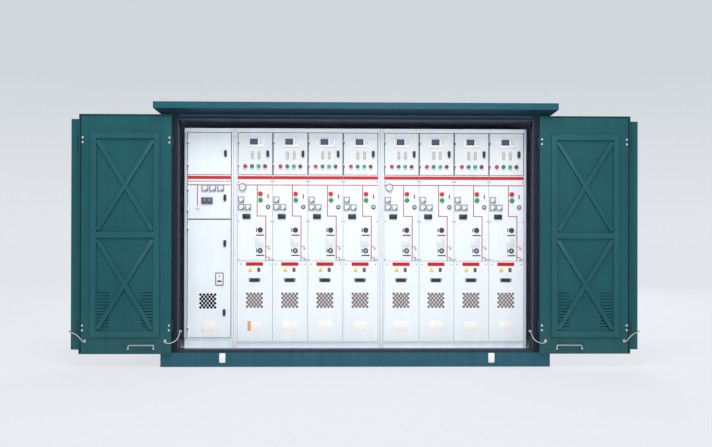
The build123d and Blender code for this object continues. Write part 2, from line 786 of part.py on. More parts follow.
hinged_doors = []
for left in unit_lefts:
    hinged_doors.append((left + door_side_gap / 2, relay_door_low, relay_door_height, short_hinge_shares))
hinged_doors.append((vt_door_left, relay_door_low, relay_door_height, short_hinge_shares))
hinged_doors.append((vt_door_left, vt_meter_door_low, vt_meter_door_height, short_hinge_shares))
hinged_doors.append((vt_door_left, vt_lower_door_low, vt_lower_door_height, tall_hinge_shares))
with BuildPart() as door_hinges:
    for door_left, low, height, hinge_shares in hinged_doors:
        for level in knuckle_levels(low, height, hinge_shares):
            fixed_hinge(door_left, level)
door_hinges.part.label = "door_hinges"
export_step(door_hinges.part, "parts/door_hinges.step")

# Earth studs near the lower corners of the front leaves, and the lugs that the cords run to:
# one in each reveal of the doorway and one on the outer edge of each back leaf
front_stud_spots = (front_leaf_start + stud_inset, front_leaf_start + front_leaf_width - stud_inset)
front_stud_z = front_leaf_low + front_stud_height
lug_low = front_leaf_low + lug_rise - lug_height / 2
back_leaf_end = back_leaf_start + back_leaf_width
reveal_lug_y = body_front + reveal_lug_inset
edge_lug_y = back_leaf_face + edge_lug_inset
with BuildPart() as earth_studs:
    with BuildSketch(face_plane(front_leaf_face)):
        for stud_x in front_stud_spots:
            with Locations((stud_x, front_stud_z), (-stud_x, front_stud_z)):
                RegularPolygon(stud_radius, hexagon_sides)
    extrude(amount=stud_length)
    with BuildSketch(Plane.XY.offset(lug_low)):
        for sign in sides.values():
            with Locations((sign * (opening_half - lug_reach / 2), reveal_lug_y)):
                Rectangle(lug_reach, lug_length, align=(Align.CENTER, Align.MIN))
            with Locations((sign * (back_leaf_end + lug_reach / 2), edge_lug_y)):
                Rectangle(lug_reach, lug_length, align=(Align.CENTER, Align.MIN))
    extrude(amount=lug_height)
earth_studs.part.label = "earth_studs"
export_step(earth_studs.part, "parts/earth_studs.step")

# Earth cords of the right-hand leaves, each hanging from a stud to a lug; the left-hand ones mirror them
inner_route = [
    (1855.0, -752.0, 257.0),
    (1855.0, -776.0, 257.0),
    (1843.0, -797.0, 249.0),
    (1814.0, -806.0, 244.0),
    (1778.0, -799.0, 248.0),
    (1745.0, -778.0, 265.0),
    (1726.0, -749.0, 294.0),
    (1719.0, -720.0, 324.0),
    (1721.0, -700.0, 338.0),
    (1721.0, -686.0, 345.0),
    (1721.0, -672.0, 345.0),
]
outer_route = [
    (2632.0, -752.0, 257.0),
    (2632.0, -776.0, 257.0),
    (2635.0, -796.0, 263.0),
    (2645.0, -807.0, 284.0),
    (2664.0, -807.0, 307.0),
    (2692.0, -799.0, 327.0),
    (2723.0, -785.0, 340.0),
    (2752.0, -766.0, 347.0),
    (2775.0, -743.0, 349.0),
    (2786.0, -721.0, 346.0),
    (2787.0, -708.0, 345.0),
    (2787.0, -697.0, 345.0),
]


def corner_radii(points):
    """The largest even radius at each bend: a share of the shorter run beside it."""
    corners = [Vector(*point) for point in points]
    radii = []
    for before, here, after in zip(corners, corners[1:], corners[2:]):
        shorter = min((here - before).length, (after - here).length)
        turn = (here - before).get_angle(after - here)
        radii.append(run_share * shorter / tan(radians(turn) / 2))
    return radii


routes = {"inner": inner_route, "outer": outer_route}
for place, route in routes.items():
    print(place, "cord radii", [round(radius, 1) for radius in corner_radii(route)])
    for side, sign in sides.items():
        points = [(sign * x, y, z) for x, y, z in route]
        with BuildPart() as strap:
            with BuildLine() as path:
                FilletPolyline(*points, radius=corner_radii(points))
            with BuildSketch(Plane(path.line @ 0, z_dir=path.line % 0)):
                RegularPolygon(strap_diameter / 2, strap_sides)
            sweep()
        cord_length = sum(edge.length for edge in path.edges())
        cord_section = strap_sides / 2 * sin(2 * pi / strap_sides) * (strap_diameter / 2) ** 2
        print(side, place, "cord length", cord_length, "by volume", strap.part.volume / cord_section)
        strap.part.label = side + "_" + place + "_strap"
        export_step(strap.part, "parts/" + side + "_" + place + "_strap.step")
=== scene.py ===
import math

import bmesh
import bpy
from mathutils import Matrix, Vector


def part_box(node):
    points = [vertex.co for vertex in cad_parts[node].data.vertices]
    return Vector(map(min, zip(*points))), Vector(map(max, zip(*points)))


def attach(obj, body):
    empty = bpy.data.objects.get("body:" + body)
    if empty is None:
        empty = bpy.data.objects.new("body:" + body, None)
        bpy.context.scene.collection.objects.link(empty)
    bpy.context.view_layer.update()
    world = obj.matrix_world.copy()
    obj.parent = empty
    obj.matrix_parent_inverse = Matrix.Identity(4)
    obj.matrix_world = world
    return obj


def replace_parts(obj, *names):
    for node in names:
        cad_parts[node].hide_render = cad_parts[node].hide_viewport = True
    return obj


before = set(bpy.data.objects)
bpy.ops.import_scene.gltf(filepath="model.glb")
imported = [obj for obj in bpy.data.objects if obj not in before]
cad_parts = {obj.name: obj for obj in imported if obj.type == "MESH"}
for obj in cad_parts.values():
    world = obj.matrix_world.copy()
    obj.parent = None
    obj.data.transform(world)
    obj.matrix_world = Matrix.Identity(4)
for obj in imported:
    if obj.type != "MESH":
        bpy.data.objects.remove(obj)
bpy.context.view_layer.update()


# Base: steel channels welded into a skid under the whole housing, painted green and dusty near the ground.
# Two white plates, left bare, are riveted to its front web.
def linear(red, green, blue):
    """A colour given in values up to 255, in the linear values that a shader takes."""
    shares = [value / 255 for value in (red, green, blue)]
    return tuple(((share + 0.055) / 1.055) ** 2.4 if share > 0.04 else share / 12.92 for share in shares) + (1.0,)


def darker(colour, share):
    """The same colour with its light cut or raised to the given share."""
    return tuple(min(1.0, value * share) for value in colour[:3]) + (1.0,)


palette = []


def blank(name):
    """A new material in the palette, with its node tree and its shader."""
    made = bpy.data.materials.new(name)
    made.use_nodes = True
    palette.append(made)
    return made, made.node_tree, made.node_tree.nodes["Principled BSDF"]


def fill(tree, node, inputs):
    """Sets a node's inputs: each takes a plain value, or the output of another node."""
    for name, value in inputs.items():
        if isinstance(value, bpy.types.NodeSocket):
            tree.links.new(value, node.inputs[name])
        else:
            node.inputs[name].default_value = value


def shaded(tree, kind, output, inputs=None, **settings):
    """Adds a shader node with its inputs and returns one of its outputs."""
    made = tree.nodes.new("ShaderNode" + kind)
    for setting, value in settings.items():
        setattr(made, setting, value)
    fill(tree, made, inputs or {})
    return made.outputs[output]


def mixed(tree, factor, first, second):
    """The output of a node that mixes two colours."""
    return shaded(tree, "Mix", "Result", {"Factor": factor, "A": first, "B": second}, data_type="RGBA")


def painted(name, colour, roughness=0.42, clouding=0.08, dust=0.0, peel=0.1, shine=0.2, lift=1.0):
    """Baked enamel on sheet steel: clouding, rain streaks down the sheet, orange peel, dust near the ground."""
    paint, tree, shader = blank(name)
    colour = darker(linear(*colour), lift)
    dust_colour, dust_height, gloss_change, peel_depth = linear(150, 146, 136), 0.55, 0.1, 0.0006
    place = shaded(tree, "TexCoord", "Object")
    cloud = shaded(tree, "TexNoise", "Fac", {"Scale": 2.4, "Detail": 6.0, "Vector": place})
    fall = shaded(tree, "Mapping", "Vector", {"Scale": (16.0, 16.0, 0.8), "Vector": place})
    streak = shaded(tree, "TexNoise", "Fac", {"Scale": 1.0, "Detail": 4.0, "Vector": fall})
    both = shaded(tree, "Math", "Value", {0: cloud, 1: streak}, operation="ADD")
    tone = shaded(tree, "MapRange", "Result", {"From Min": 0.75, "From Max": 1.25, "Value": both})
    coat = mixed(tree, tone, darker(colour, 1 - clouding), darker(colour, 1 + clouding))
    height = shaded(tree, "SeparateXYZ", "Z", {"Vector": place})
    thinning = {"From Max": dust_height, "To Min": dust, "To Max": 0.0, "Value": height}
    settled = shaded(tree, "MapRange", "Result", thinning)
    patch = shaded(tree, "Math", "Value", {0: settled, 1: streak}, operation="MULTIPLY")
    change = {"To Min": roughness - gloss_change, "To Max": roughness + gloss_change, "Value": cloud}
    grain = shaded(tree, "TexNoise", "Fac", {"Scale": 380.0, "Vector": place})
    skin = {"Strength": peel, "Distance": peel_depth, "Height": grain}
    finish = {"Specular IOR Level": shine, "Base Color": mixed(tree, patch, coat, dust_colour)}
    finish["Roughness"] = shaded(tree, "MapRange", "Result", change)
    finish["Normal"] = shaded(tree, "Bump", "Normal", skin)
    fill(tree, shader, finish)
    return paint


def dress(material, *names, edge=0.0):
    """Gives pieces of the frame their finish, and a small rounded edge where the sheet is folded."""
    for name in names:
        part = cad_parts[name]
        for place in part.material_slots:
            place.material = material
        if edge:
            part.modifiers.new("closed_corners", "WELD").merge_threshold = 1e-5
            fold = part.modifiers.new("folded_edges", "BEVEL")
            fold.width = edge
            fold.segments = 2
            fold.angle_limit = math.radians(40)
            fold.harden_normals = True
            fold.loop_slide = False


def coated(corners, material):
    """Gives the faces at these corners their finish, and returns the faces."""
    faces = {face for corner in corners for face in corner.link_faces}
    for face in faces:
        face.material_index = palette.index(material)
    return faces


def rounded(mesh, rims, radius):
    """Rounds edges of a mesh."""
    bmesh.ops.bevel(mesh, geom=rims, offset=radius, segments=2, profile=0.5, affect="EDGES", material=-1,
                    clamp_overlap=True)


def block(mesh, middle, size, material, edge=0.0, lean=0.0, about="Y"):
    """Adds one block with rounded edges to a mesh, leaning by an angle about one axis."""
    place = Matrix.Translation(middle) @ Matrix.Rotation(lean, 4, about)
    made = bmesh.ops.create_cube(mesh, size=1.0, matrix=place @ Matrix.Diagonal((*size, 1.0)))
    coated(made["verts"], material)
    if edge:
        rounded(mesh, list({rim for corner in made["verts"] for rim in corner.link_edges}), edge)


def turned(mesh, middle, profile, material, sides=20):
    """Adds a round fitting that stands out of a front: its profile is (radius, stand) points from back to tip."""
    x, y, z = middle
    points = [mesh.verts.new((x + radius, y - stand, z)) for radius, stand in profile]
    runs = [mesh.edges.new(pair) for pair in zip(points, points[1:])]
    bmesh.ops.spin(mesh, geom=points + runs, cent=middle, axis=(0, 1, 0), angle=math.tau, steps=sides,
                   use_merge=True)
    reached, ends = set(), {face for point in points for face in point.link_faces}
    while ends:
        reached |= ends
        ends = {near for face in ends for rim in face.edges for near in rim.link_faces} - reached
    for face in reached:
        face.material_index = palette.index(material)


def piece(name, mesh, body="housing"):
    """Closes a mesh, turns its faces outwards, gives it the finishes that it uses and hangs it on its body."""
    bmesh.ops.remove_doubles(mesh, verts=mesh.verts, dist=1e-6)
    bmesh.ops.recalc_face_normals(mesh, faces=mesh.faces)
    used = sorted({face.material_index for face in mesh.faces})
    for face in mesh.faces:
        face.material_index = used.index(face.material_index)
    shape = bpy.data.meshes.new(name)
    mesh.to_mesh(shape)
    mesh.free()
    for index in used:
        shape.materials.append(palette[index])
    shape.shade_smooth()
    shape.set_sharp_from_angle(angle=math.radians(35))
    made = bpy.data.objects.new(name, shape)
    bpy.context.collection.objects.link(made)
    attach(made, body)
    return made


base_green = painted("base_green", (26, 88, 106), dust=0.1)
dress(base_green, "base_long_channels", "base_cross_channels", edge=0.004)
base_low, base_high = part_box("base_long_channels")
plate_white = painted("plate_white", (250, 250, 252), clouding=0.03, dust=0.05)
rivet_steel = painted("rivet_steel", (150, 152, 156), roughness=0.35)
plate_places, plate_z, plate_size, plate_sunk = (-1.305, 1.330), 0.088, (0.060, 0.004, 0.094), 0.001
rivet = [(0.0, -0.001), (0.0035, -0.001), (0.0035, 0.001), (0.002, 0.0022), (0.0, 0.0026)]
rivet_aside, rivet_up = 0.023, 0.040
plate_front = base_low[1] - plate_size[1] + plate_sunk
plates = bmesh.new()
for plate_x in plate_places:
    block(plates, (plate_x, plate_front + plate_size[1] / 2, plate_z), plate_size, plate_white, edge=0.0012)
    for rivet_x in (plate_x - rivet_aside, plate_x + rivet_aside):
        for rivet_z in (plate_z - rivet_up, plate_z + rivet_up):
            turned(plates, (rivet_x, plate_front, rivet_z), rivet, rivet_steel, sides=10)
piece("base_plates", plates)

# Base end caps: plates welded over the open ends of the long channels, flush with the sides.
# They carry the same paint as the channels.
cap_thick, cap_width = 0.004, 0.070
cap_size = (cap_thick, cap_width, base_high[2] - base_low[2])
caps = bmesh.new()
for cap_x in (base_low[0] + cap_thick / 2, base_high[0] - cap_thick / 2):
    for cap_y in (base_low[1] + cap_width / 2, base_high[1] - cap_width / 2):
        block(caps, (cap_x, cap_y, (base_low[2] + base_high[2]) / 2), cap_size, base_green, edge=0.001)
piece("base_end_caps", caps)

# Housing: corner posts, walls, lintel and sill of folded sheet steel bolted to the base, green outside.
# Round the doorway the posts' inner faces and the door frame are a dark slate, painted shade of the doorway, and
# inside the sheet is pale.
far = 9.0


def recoat_or_shade(paint, colour, across=far, front_of=far, below=far):
    """Lays a second colour over what lies inside a half width, in front of a depth and below a height: a second
    coat, or painted shade.
    """
    tree = paint.node_tree
    place = shaded(tree, "TexCoord", "Object")
    x, y, z = [shaded(tree, "SeparateXYZ", axis, {"Vector": place}) for axis in "XYZ"]
    half = shaded(tree, "Math", "Value", {0: x}, operation="ABSOLUTE")
    within = 1.0
    for measured, limit in ((half, across), (y, front_of), (z, below)):
        test = shaded(tree, "Math", "Value", {0: measured, 1: limit}, operation="LESS_THAN")
        within = shaded(tree, "Math", "Value", {0: within, 1: test}, operation="MULTIPLY")
    shader = tree.nodes["Principled BSDF"]
    first = shader.inputs["Base Color"].links[0].from_socket
    fill(tree, shader, {"Base Color": mixed(tree, within, first, linear(*colour))})
    return paint


wall_green, doorway_painted_shade, inner_pale = (24, 84, 90), (22, 27, 42), (228, 232, 250)
leaf_low, leaf_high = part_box("right_front_leaf")
wall_low, wall_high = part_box("side_walls")
wall_rear, inside_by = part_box("rear_wall")[1][1], 0.02
# The posts' faces in the doorway get a dark slate: painted shade.
post_paint = recoat_or_shade(painted("post_paint", wall_green, dust=0.1), doorway_painted_shade, across=leaf_low[0], front_of=0.0)
dress(post_paint, "corner_posts", edge=0.003)
wall_paint = painted("wall_paint", wall_green, dust=0.1)
recoat_or_shade(wall_paint, inner_pale, across=wall_high[0] - inside_by, front_of=wall_rear - inside_by)
dress(wall_paint, "side_walls", "rear_wall", edge=0.003)
dress(painted("lintel_green", (44, 88, 110)), "lintel", edge=0.003)
dress(painted("slate_coat", inner_pale, roughness=0.55), "floor_plate", "ceiling_panel")
dress(painted("sill_paint", (36, 43, 62), dust=0.1), "door_sill", edge=0.002)
# The door frame's dark slate is painted shade.
frame_painted_shade = painted("frame_painted_shade", (24, 32, 48), roughness=0.5)
dress(frame_painted_shade, "door_frame_posts", "door_frame_head", edge=0.0015)

# Door seal: a rubber lip pushed over the inner edge of the dark frame, up both sides and across the head; its pale
# grey is painted highlight on that edge.
# It is cut square at the corners and held by its own grip.
lip_painted_highlight = painted("lip_painted_highlight", (78, 92, 104), roughness=0.7, peel=0.3)
trim_low, trim_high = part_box("door_frame_posts")
corner_post_width, lip, lip_round = 0.1745, 0.006, 0.002
opening_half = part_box("corner_posts")[1][0] - corner_post_width
lip_y, lip_z, lip_height = trim_low[1] - lip / 2, (trim_low[2] + trim_high[2]) / 2, trim_high[2] - trim_low[2]
seal = bmesh.new()
for side in (-1, 1):
    lip_x = side * (opening_half + lip / 2)
    block(seal, (lip_x, lip_y, lip_z), (lip, lip, lip_height), lip_painted_highlight, edge=lip_round)
head_size = (2 * opening_half + 2 * lip, lip, lip)
block(seal, (0.0, lip_y, trim_high[2] + lip / 2), head_size, lip_painted_highlight, edge=lip_round)
piece("door_seal", seal)

# Wall joints: flat cover strips screwed over the joints of the sheets, on the sides and the back.
# They are the same green as the walls they are on.
strip_green = painted("strip_green", wall_green, dust=0.1, lift=1.06)
strip_width, strip_stand, strip_short, strip_y = 0.050, 0.004, 0.03, 0.1
strip_z, strip_height = (wall_low[2] + wall_high[2]) / 2, wall_high[2] - wall_low[2] - strip_short
strips = bmesh.new()
for share in (0.25, 0.5, 0.75):
    strip_at = (wall_low[0] + share * (wall_high[0] - wall_low[0]), wall_rear, strip_z)
    block(strips, strip_at, (strip_width, 2 * strip_stand, strip_height), strip_green, edge=0.0015)
for strip_x in (wall_low[0], wall_high[0]):
    strip_size = (2 * strip_stand, strip_width, strip_height)
    block(strips, (strip_x, strip_y, strip_z), strip_size, strip_green, edge=0.0015)
piece("wall_strips", strips)

# Roof: one sheet-steel cap with a coved eave, bolted down on the walls, in a fresher coat of the green.
# The cove under its edge is a darker slate: painted shade.
roof_green, cove_painted_shade, roof_rise = (24, 88, 100), (30, 56, 74), 0.094
roof_paint = painted("roof_green", roof_green, roughness=0.36, clouding=0.1)
dress(recoat_or_shade(roof_paint, cove_painted_shade, below=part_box("roof_cap")[1][2] - roof_rise), "roof_cap", edge=0.005)

# Folding leaves: double-skin sheet doors in two leaves a side, folded back flat against each other.
# Flat bars riveted on the sheet make the frame and the crossed braces, and the foot has pressed louvres.
leaf_green = (22, 84, 90)
leaf_paint = painted("leaf_paint", leaf_green, roughness=0.4, dust=0.1)
bar_paint = painted("bar_paint", leaf_green, roughness=0.36, dust=0.1, shine=0.25, lift=1.05)
hinge_paint = painted("hinge_paint", (30, 60, 68), roughness=0.4)
dress(leaf_paint, "left_front_leaf", "right_front_leaf", "left_back_leaf", "right_back_leaf", edge=0.004)
dress(bar_paint, "left_leaf_stiffeners", "right_leaf_stiffeners", edge=0.0025)
dress(hinge_paint, "leaf_hinges", edge=0.0015)

# Upper braces: of the two bars that cross in a panel, one is laid over the other and stands out by its own sheet.
# It has the bars' paint, and its ends are cut square short of the frame.
frame_side, frame_foot, frame_head, rail = 0.112, 0.165, 0.180, 0.058
brace_width, brace_stand, brace_setback, brace_sheet = 0.042, 0.018, 0.022, 0.003
leaf_x, leaf_width, leaf_front = (leaf_low[0] + leaf_high[0]) / 2, leaf_high[0] - leaf_low[0], leaf_low[1]
frame_low, frame_high = leaf_low[2] + frame_foot, leaf_high[2] - frame_head
field_width = leaf_width - 2 * (frame_side + rail)
field_height = (frame_high - frame_low - 3 * rail) / 2
brace_lean = math.atan2(field_height, field_width)
brace_size = (math.hypot(field_width, field_height) - 2 * brace_setback, 2 * brace_sheet, brace_width)
braces = bmesh.new()
for side in (-1, 1):
    for step in (-0.5, 0.5):
        brace_z = (frame_low + frame_high) / 2 + step * (field_height + rail)
        brace_at = (side * leaf_x, leaf_front - brace_stand, brace_z)
        block(braces, brace_at, brace_size, bar_paint, edge=0.0025, lean=side * brace_lean)
piece("upper_braces", braces)

# Leaf edge shadows: dark strips along the free edge and the top edge of each front leaf, at the fold.
# They are painted shadow of the folded edge and of the joint to the second leaf and to the lintel.
edge_painted_shadow = painted("edge_painted_shadow", (14, 36, 44), roughness=0.7, peel=0.3)
edge_inset, edge_strip, head_inset, head_strip = 0.016, 0.014, 0.012, 0.008
band_thick, shadow_short = 0.004, 0.02
edge_shadows = bmesh.new()
for side in (-1, 1):
    shadow_at = (side * (leaf_high[0] - edge_inset), leaf_front, (leaf_low[2] + leaf_high[2]) / 2)
    shadow_size = (edge_strip, band_thick, leaf_high[2] - leaf_low[2] - shadow_short)
    block(edge_shadows, shadow_at, shadow_size, edge_painted_shadow, edge=0.0015)
    shadow_at = (side * leaf_x, leaf_front, leaf_high[2] - head_inset)
    shadow_size = (leaf_width - shadow_short, band_thick, head_strip)
    block(edge_shadows, shadow_at, shadow_size, edge_painted_shadow, edge=0.0015)
piece("leaf_edge_shadows", edge_shadows)

# Louvre blades: the hooded slots pressed out of the leaf's own sheet, twelve in each of the two blocks of a leaf.
# Each hood leans out at its top edge; the dark sheet set in the slit under it is painted shade.
slit_painted_shade = painted("slit_painted_shade", (14, 42, 48), roughness=0.7, shine=0.1)
slit_size, hood_size, hood_lean = (0.108, 0.001, 0.014), (0.104, 0.0015, 0.008), math.radians(-28)
slit_deep, hood_proud, hood_up = 0.0035, 0.001, 0.005
louvre_rows, louvre_pitch, louvre_rise, louvre_margin = 12, 0.030, 0.030, 0.016
louvre_spread = field_width - 2 * louvre_margin - slit_size[0]
louvre_low = frame_low + rail + louvre_rise + louvre_pitch / 2
blades = bmesh.new()
for side in (-1, 1):
    for column in (-0.5, 0.5):
        for row in range(louvre_rows):
            slit_x, slit_z = side * leaf_x + column * louvre_spread, louvre_low + row * louvre_pitch
            block(blades, (slit_x, leaf_front + slit_deep, slit_z), slit_size, slit_painted_shade)
            hood_at = (slit_x, leaf_front - hood_proud, slit_z + hood_up)
            block(blades, hood_at, hood_size, bar_paint, lean=hood_lean, about="X")
piece("louvre_blades", blades)

# Leaf bolts: zinc cap nuts in pairs on the leaf's edges, which hold the hinges and the catches inside.
# They are threaded on studs welded to the folded edge.
zinc = painted("zinc", (214, 216, 214), roughness=0.35, clouding=0.08)
nut_foot, nut_dome = [(0.0, -0.002), (0.010, -0.002), (0.010, 0.003)], [(0.004, 0.011), (0.0, 0.012)]
cap_nut = nut_foot + [(0.008, 0.004), (0.007, 0.008)] + nut_dome
bolt_columns, bolt_rows = (1.818, 2.655), (2.232, 2.185, 0.409, 0.363)
bolts = bmesh.new()
for side in (-1, 1):
    for bolt_x in bolt_columns:
        for bolt_z in bolt_rows:
            turned(bolts, (side * bolt_x, leaf_front, bolt_z), cap_nut, zinc, sides=12)
piece("leaf_bolts", bolts)


# Leaf handles: bent bright rods on two feet, screwed to the foot of each front leaf.
# The earth studs beside them are zinc-plated hexagon bolts through the sheet.
def bare_metal(name, colour, roughness):
    """Bare or plated metal: brushed along one way, with small changes of gloss and tint."""
    metal, tree, shader = blank(name)
    colour = linear(*colour)
    brushing, gloss_change = (1.0, 1.0, 40.0), 0.12
    place = shaded(tree, "TexCoord", "Object")
    lay = shaded(tree, "Mapping", "Vector", {"Scale": brushing, "Vector": place})
    brush = shaded(tree, "TexNoise", "Fac", {"Scale": 22.0, "Detail": 5.0, "Vector": lay})
    tint = mixed(tree, brush, darker(colour, 0.82), darker(colour, 1.12))
    change = {"To Min": roughness - gloss_change, "To Max": roughness + gloss_change, "Value": brush}
    gloss = shaded(tree, "MapRange", "Result", change)
    fill(tree, shader, {"Metallic": 1.0, "Base Color": tint, "Roughness": gloss})
    return metal


bright_rod = bare_metal("bright_rod", (186, 188, 190), roughness=0.32)
stud_zinc = bare_metal("stud_zinc", (214, 210, 198), roughness=0.38)
dress(bright_rod, "leaf_handles", edge=0.001)
dress(stud_zinc, "earth_studs", edge=0.001)

# Earth cords: braided copper leads, tinned, which bridge each front leaf to the doorway and to the second leaf.
# Both ends are in crimped lugs under the studs' heads.
inner_route = (
    (1.855, -0.752, 0.257), (1.855, -0.776, 0.257), (1.843, -0.797, 0.249), (1.814, -0.806, 0.244),
    (1.778, -0.799, 0.248), (1.745, -0.778, 0.265), (1.726, -0.749, 0.294), (1.719, -0.720, 0.324),
    (1.721, -0.700, 0.338), (1.721, -0.686, 0.345), (1.721, -0.672, 0.345),
)
outer_route = (
    (2.632, -0.752, 0.257), (2.632, -0.776, 0.257), (2.635, -0.796, 0.263), (2.645, -0.807, 0.284),
    (2.664, -0.807, 0.307), (2.692, -0.799, 0.327), (2.723, -0.785, 0.340), (2.752, -0.766, 0.347),
    (2.775, -0.743, 0.349), (2.786, -0.721, 0.346), (2.787, -0.708, 0.345), (2.787, -0.697, 0.345),
)
cord_lengths, cord_diameter = {"inner": 0.297, "outer": 0.286}, 0.008
braid = painted("tinned_braid", (206, 204, 196), roughness=0.5, clouding=0.15, peel=0.0)
tree = braid.node_tree
weave_at = shaded(tree, "TexCoord", "Object")
weave = shaded(tree, "TexWave", "Fac", {"Scale": 160.0, "Distortion": 2.0, "Vector": weave_at})
ridges = shaded(tree, "Bump", "Normal", {"Strength": 0.6, "Distance": 0.0008, "Height": weave})
fill(tree, tree.nodes["Principled BSDF"], {"Normal": ridges})
for hand, side in (("left", -1), ("right", 1)):
    for reach, route in (("inner", inner_route), ("outer", outer_route)):
        line = bpy.data.curves.new(f"{hand}_{reach}_cord", "CURVE")
        line.dimensions = "3D"
        line.bevel_depth = cord_diameter / 2
        line.bevel_resolution = 3
        line.resolution_u = 8
        line.use_fill_caps = True
        run = line.splines.new("NURBS")
        run.points.add(len(route) - 1)
        for point, (x, y, z) in zip(run.points, route):
            point.co = (side * x, y, z, 1.0)
        run.order_u = 3
        run.use_endpoint_u = True
        line.materials.append(braid)
        cord = bpy.data.objects.new(f"{hand}_{reach}_cord", line)
        bpy.context.collection.objects.link(cord)
        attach(cord, "housing")
        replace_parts(cord, f"{hand}_{reach}_strap")

# Cord lugs: tinned copper washers at the studs, a little tarnished.
# Each lies under its bolt's head and grips the end of the braid.
lug_tin = bare_metal("lug_tin", (204, 196, 186), roughness=0.45)
washer = [(0.0, -0.001), (0.015, -0.001), (0.015, 0.0015), (0.014, 0.002), (0.0, 0.002)]
lugs = bmesh.new()
for side in (-1, 1):
    for x, y, z in (inner_route[0], outer_route[0]):
        turned(lugs, (side * x, leaf_front, z), washer, lug_tin, sides=18)
piece("cord_lugs", lugs)

# Cabinets: the transformer cabinet and two banks of four switchgear units, of white enamelled sheet steel.
# They stand on grey-white plinths; the front edges of their panels, shelves and partitions are grey, and the
# housings' front band a greyer white, as painted shade in the joints round each door.
cabinet_white, joint_painted_shade, joint_shade_white = (238, 245, 250), (146, 148, 156), (236, 238, 242)
enamel = {"roughness": 0.4, "clouding": 0.03}
white_paint = painted("white_paint", cabinet_white, **enamel)
dress(white_paint, "vt_back_panel", "vt_fascia_strip", "relay_box_backs", "cabinet_headers", edge=0.0015)
# The grey on the front edges and the greyer white of the housings' front band are painted shade in the joints.
band_thick = 0.010
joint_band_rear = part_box("bank_housings")[0][1] + band_thick
shaded_edge_white = recoat_or_shade(painted("shaded_edge_white", cabinet_white, **enamel), joint_painted_shade, front_of=joint_band_rear)
dress(shaded_edge_white, "vt_side_panels", "vt_shelves", "relay_partitions")
joint_paint = recoat_or_shade(painted("joint_shade_white", cabinet_white, **enamel), joint_shade_white, front_of=joint_band_rear)
dress(joint_paint, "bank_housings")
dress(painted("plinth_paint", (234, 247, 255), clouding=0.04), "cabinet_plinths", edge=0.0015)
vt_low, vt_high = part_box("vt_side_panels")
end_grey, post_white, end_width = (204, 210, 224), (236, 241, 246), 0.1
post_paint = painted("post_white", end_grey, clouding=0.04)
dress(recoat_or_shade(post_paint, post_white, across=-vt_low[0] - end_width), "filler_posts", edge=0.0015)
hinge_steel = painted("hinge_steel", (120, 122, 130), roughness=0.4)
dress(hinge_steel, "door_hinges")

# Filler seams: two dark joint lines down each filler post, with round-headed screws between them.
# The screws are zinc plated.
seam_grey = painted("seam_grey", (96, 98, 108), roughness=0.6)
small_screw = [(0.0, -0.001), (0.006, -0.001), (0.006, 0.002), (0.004, 0.004), (0.0, 0.0045)]
screw_heights, screw_in = (0.32, 0.70, 1.10, 1.48, 1.80, 2.10, 2.26), 0.0325
seam_lines, seam_stand, seam_short = ((0.020, 0.003), (0.045, 0.002)), 0.001, 0.01
knuckle_past = 0.0015
unit_lefts = [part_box(f"relay_door_{number}")[0][0] - knuckle_past for number in range(1, 9)]
unit_width, filler_width = unit_lefts[1] - unit_lefts[0], unit_lefts[0] - vt_high[0]
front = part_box("mimic_panels")[0][1]
post_low, post_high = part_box("filler_posts")
post_z, seam_height = (post_low[2] + post_high[2]) / 2, post_high[2] - post_low[2] - seam_short
seams = bmesh.new()
for post_left in (vt_high[0], unit_lefts[4] - filler_width):
    for seam_in, seam_width in seam_lines:
        block(seams, (post_left + seam_in, front, post_z), (seam_width, seam_stand, seam_height), seam_grey)
    for screw_z in screw_heights:
        turned(seams, (post_left + screw_in, front, screw_z), small_screw, zinc, sides=10)
piece("filler_seams", seams)


# Relay doors: shallow sheet-steel pans on lift-off hinges, eight in a row along the top of the units.
# Each carries a relay with a screen, two test strips, an oval lock and four illuminated push buttons.
def moulded(name, colour, roughness=0.4, glow=0.0):
    """Moulded plastic or glass: fine texture and slightly uneven gloss."""
    plastic, tree, shader = blank(name)
    colour = linear(*colour)
    gloss_change, glossiest = 0.1, 0.02
    place = shaded(tree, "TexCoord", "Object")
    fine = shaded(tree, "TexNoise", "Fac", {"Scale": 140.0, "Detail": 3.0, "Vector": place})
    tint = mixed(tree, fine, darker(colour, 0.9), darker(colour, 1.1))
    change = {"To Min": max(glossiest, roughness - gloss_change), "To Max": roughness + gloss_change}
    gloss = shaded(tree, "MapRange", "Result", {**change, "Value": fine})
    finish = {"Base Color": tint, "Roughness": gloss}
    if glow:
        finish |= {"Emission Color": colour, "Emission Strength": glow}
    fill(tree, shader, finish)
    return plastic


def spot(area, across, down, stand=0.0, rise=0.0, aside=0.0):
    """A place on a front, by shares of an area's width and height from its left and top, then moved from there."""
    left, top, width, height = area
    return (left + across * width + aside, front - stand, top - down * height + rise)


def front_area(name, left, width):
    """The left, top, width and height of a front, whose height is that of a piece of the frame."""
    low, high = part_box(name)
    return (left, high[2], width, high[2] - low[2])


relay_white = painted("relay_white", (232, 238, 242), roughness=0.38, clouding=0.03)
bezel_white = moulded("bezel_white", (250, 250, 251))
case_black = moulded("case_black", (30, 31, 36), roughness=0.45)
screen_navy = moulded("screen_navy", (62, 66, 108), roughness=0.5, glow=0.08)
key_grey = moulded("key_grey", (196, 200, 206))
strip_olive = moulded("strip_olive", (168, 162, 132), roughness=0.5)
lens_gloss = 0.42
lens_red = moulded("lens_red", (200, 34, 36), lens_gloss)
lens_deep_red = moulded("lens_deep_red", (138, 26, 40), lens_gloss)
lens_green = moulded("lens_green", (30, 150, 78), lens_gloss)
lens_deep_green = moulded("lens_deep_green", (44, 112, 94), lens_gloss)
lens_teal = moulded("lens_teal", (36, 168, 112), lens_gloss)
chrome = bare_metal("chrome", (200, 202, 206), roughness=0.22)
barrel_steel = bare_metal("barrel_steel", (96, 98, 104), roughness=0.45)


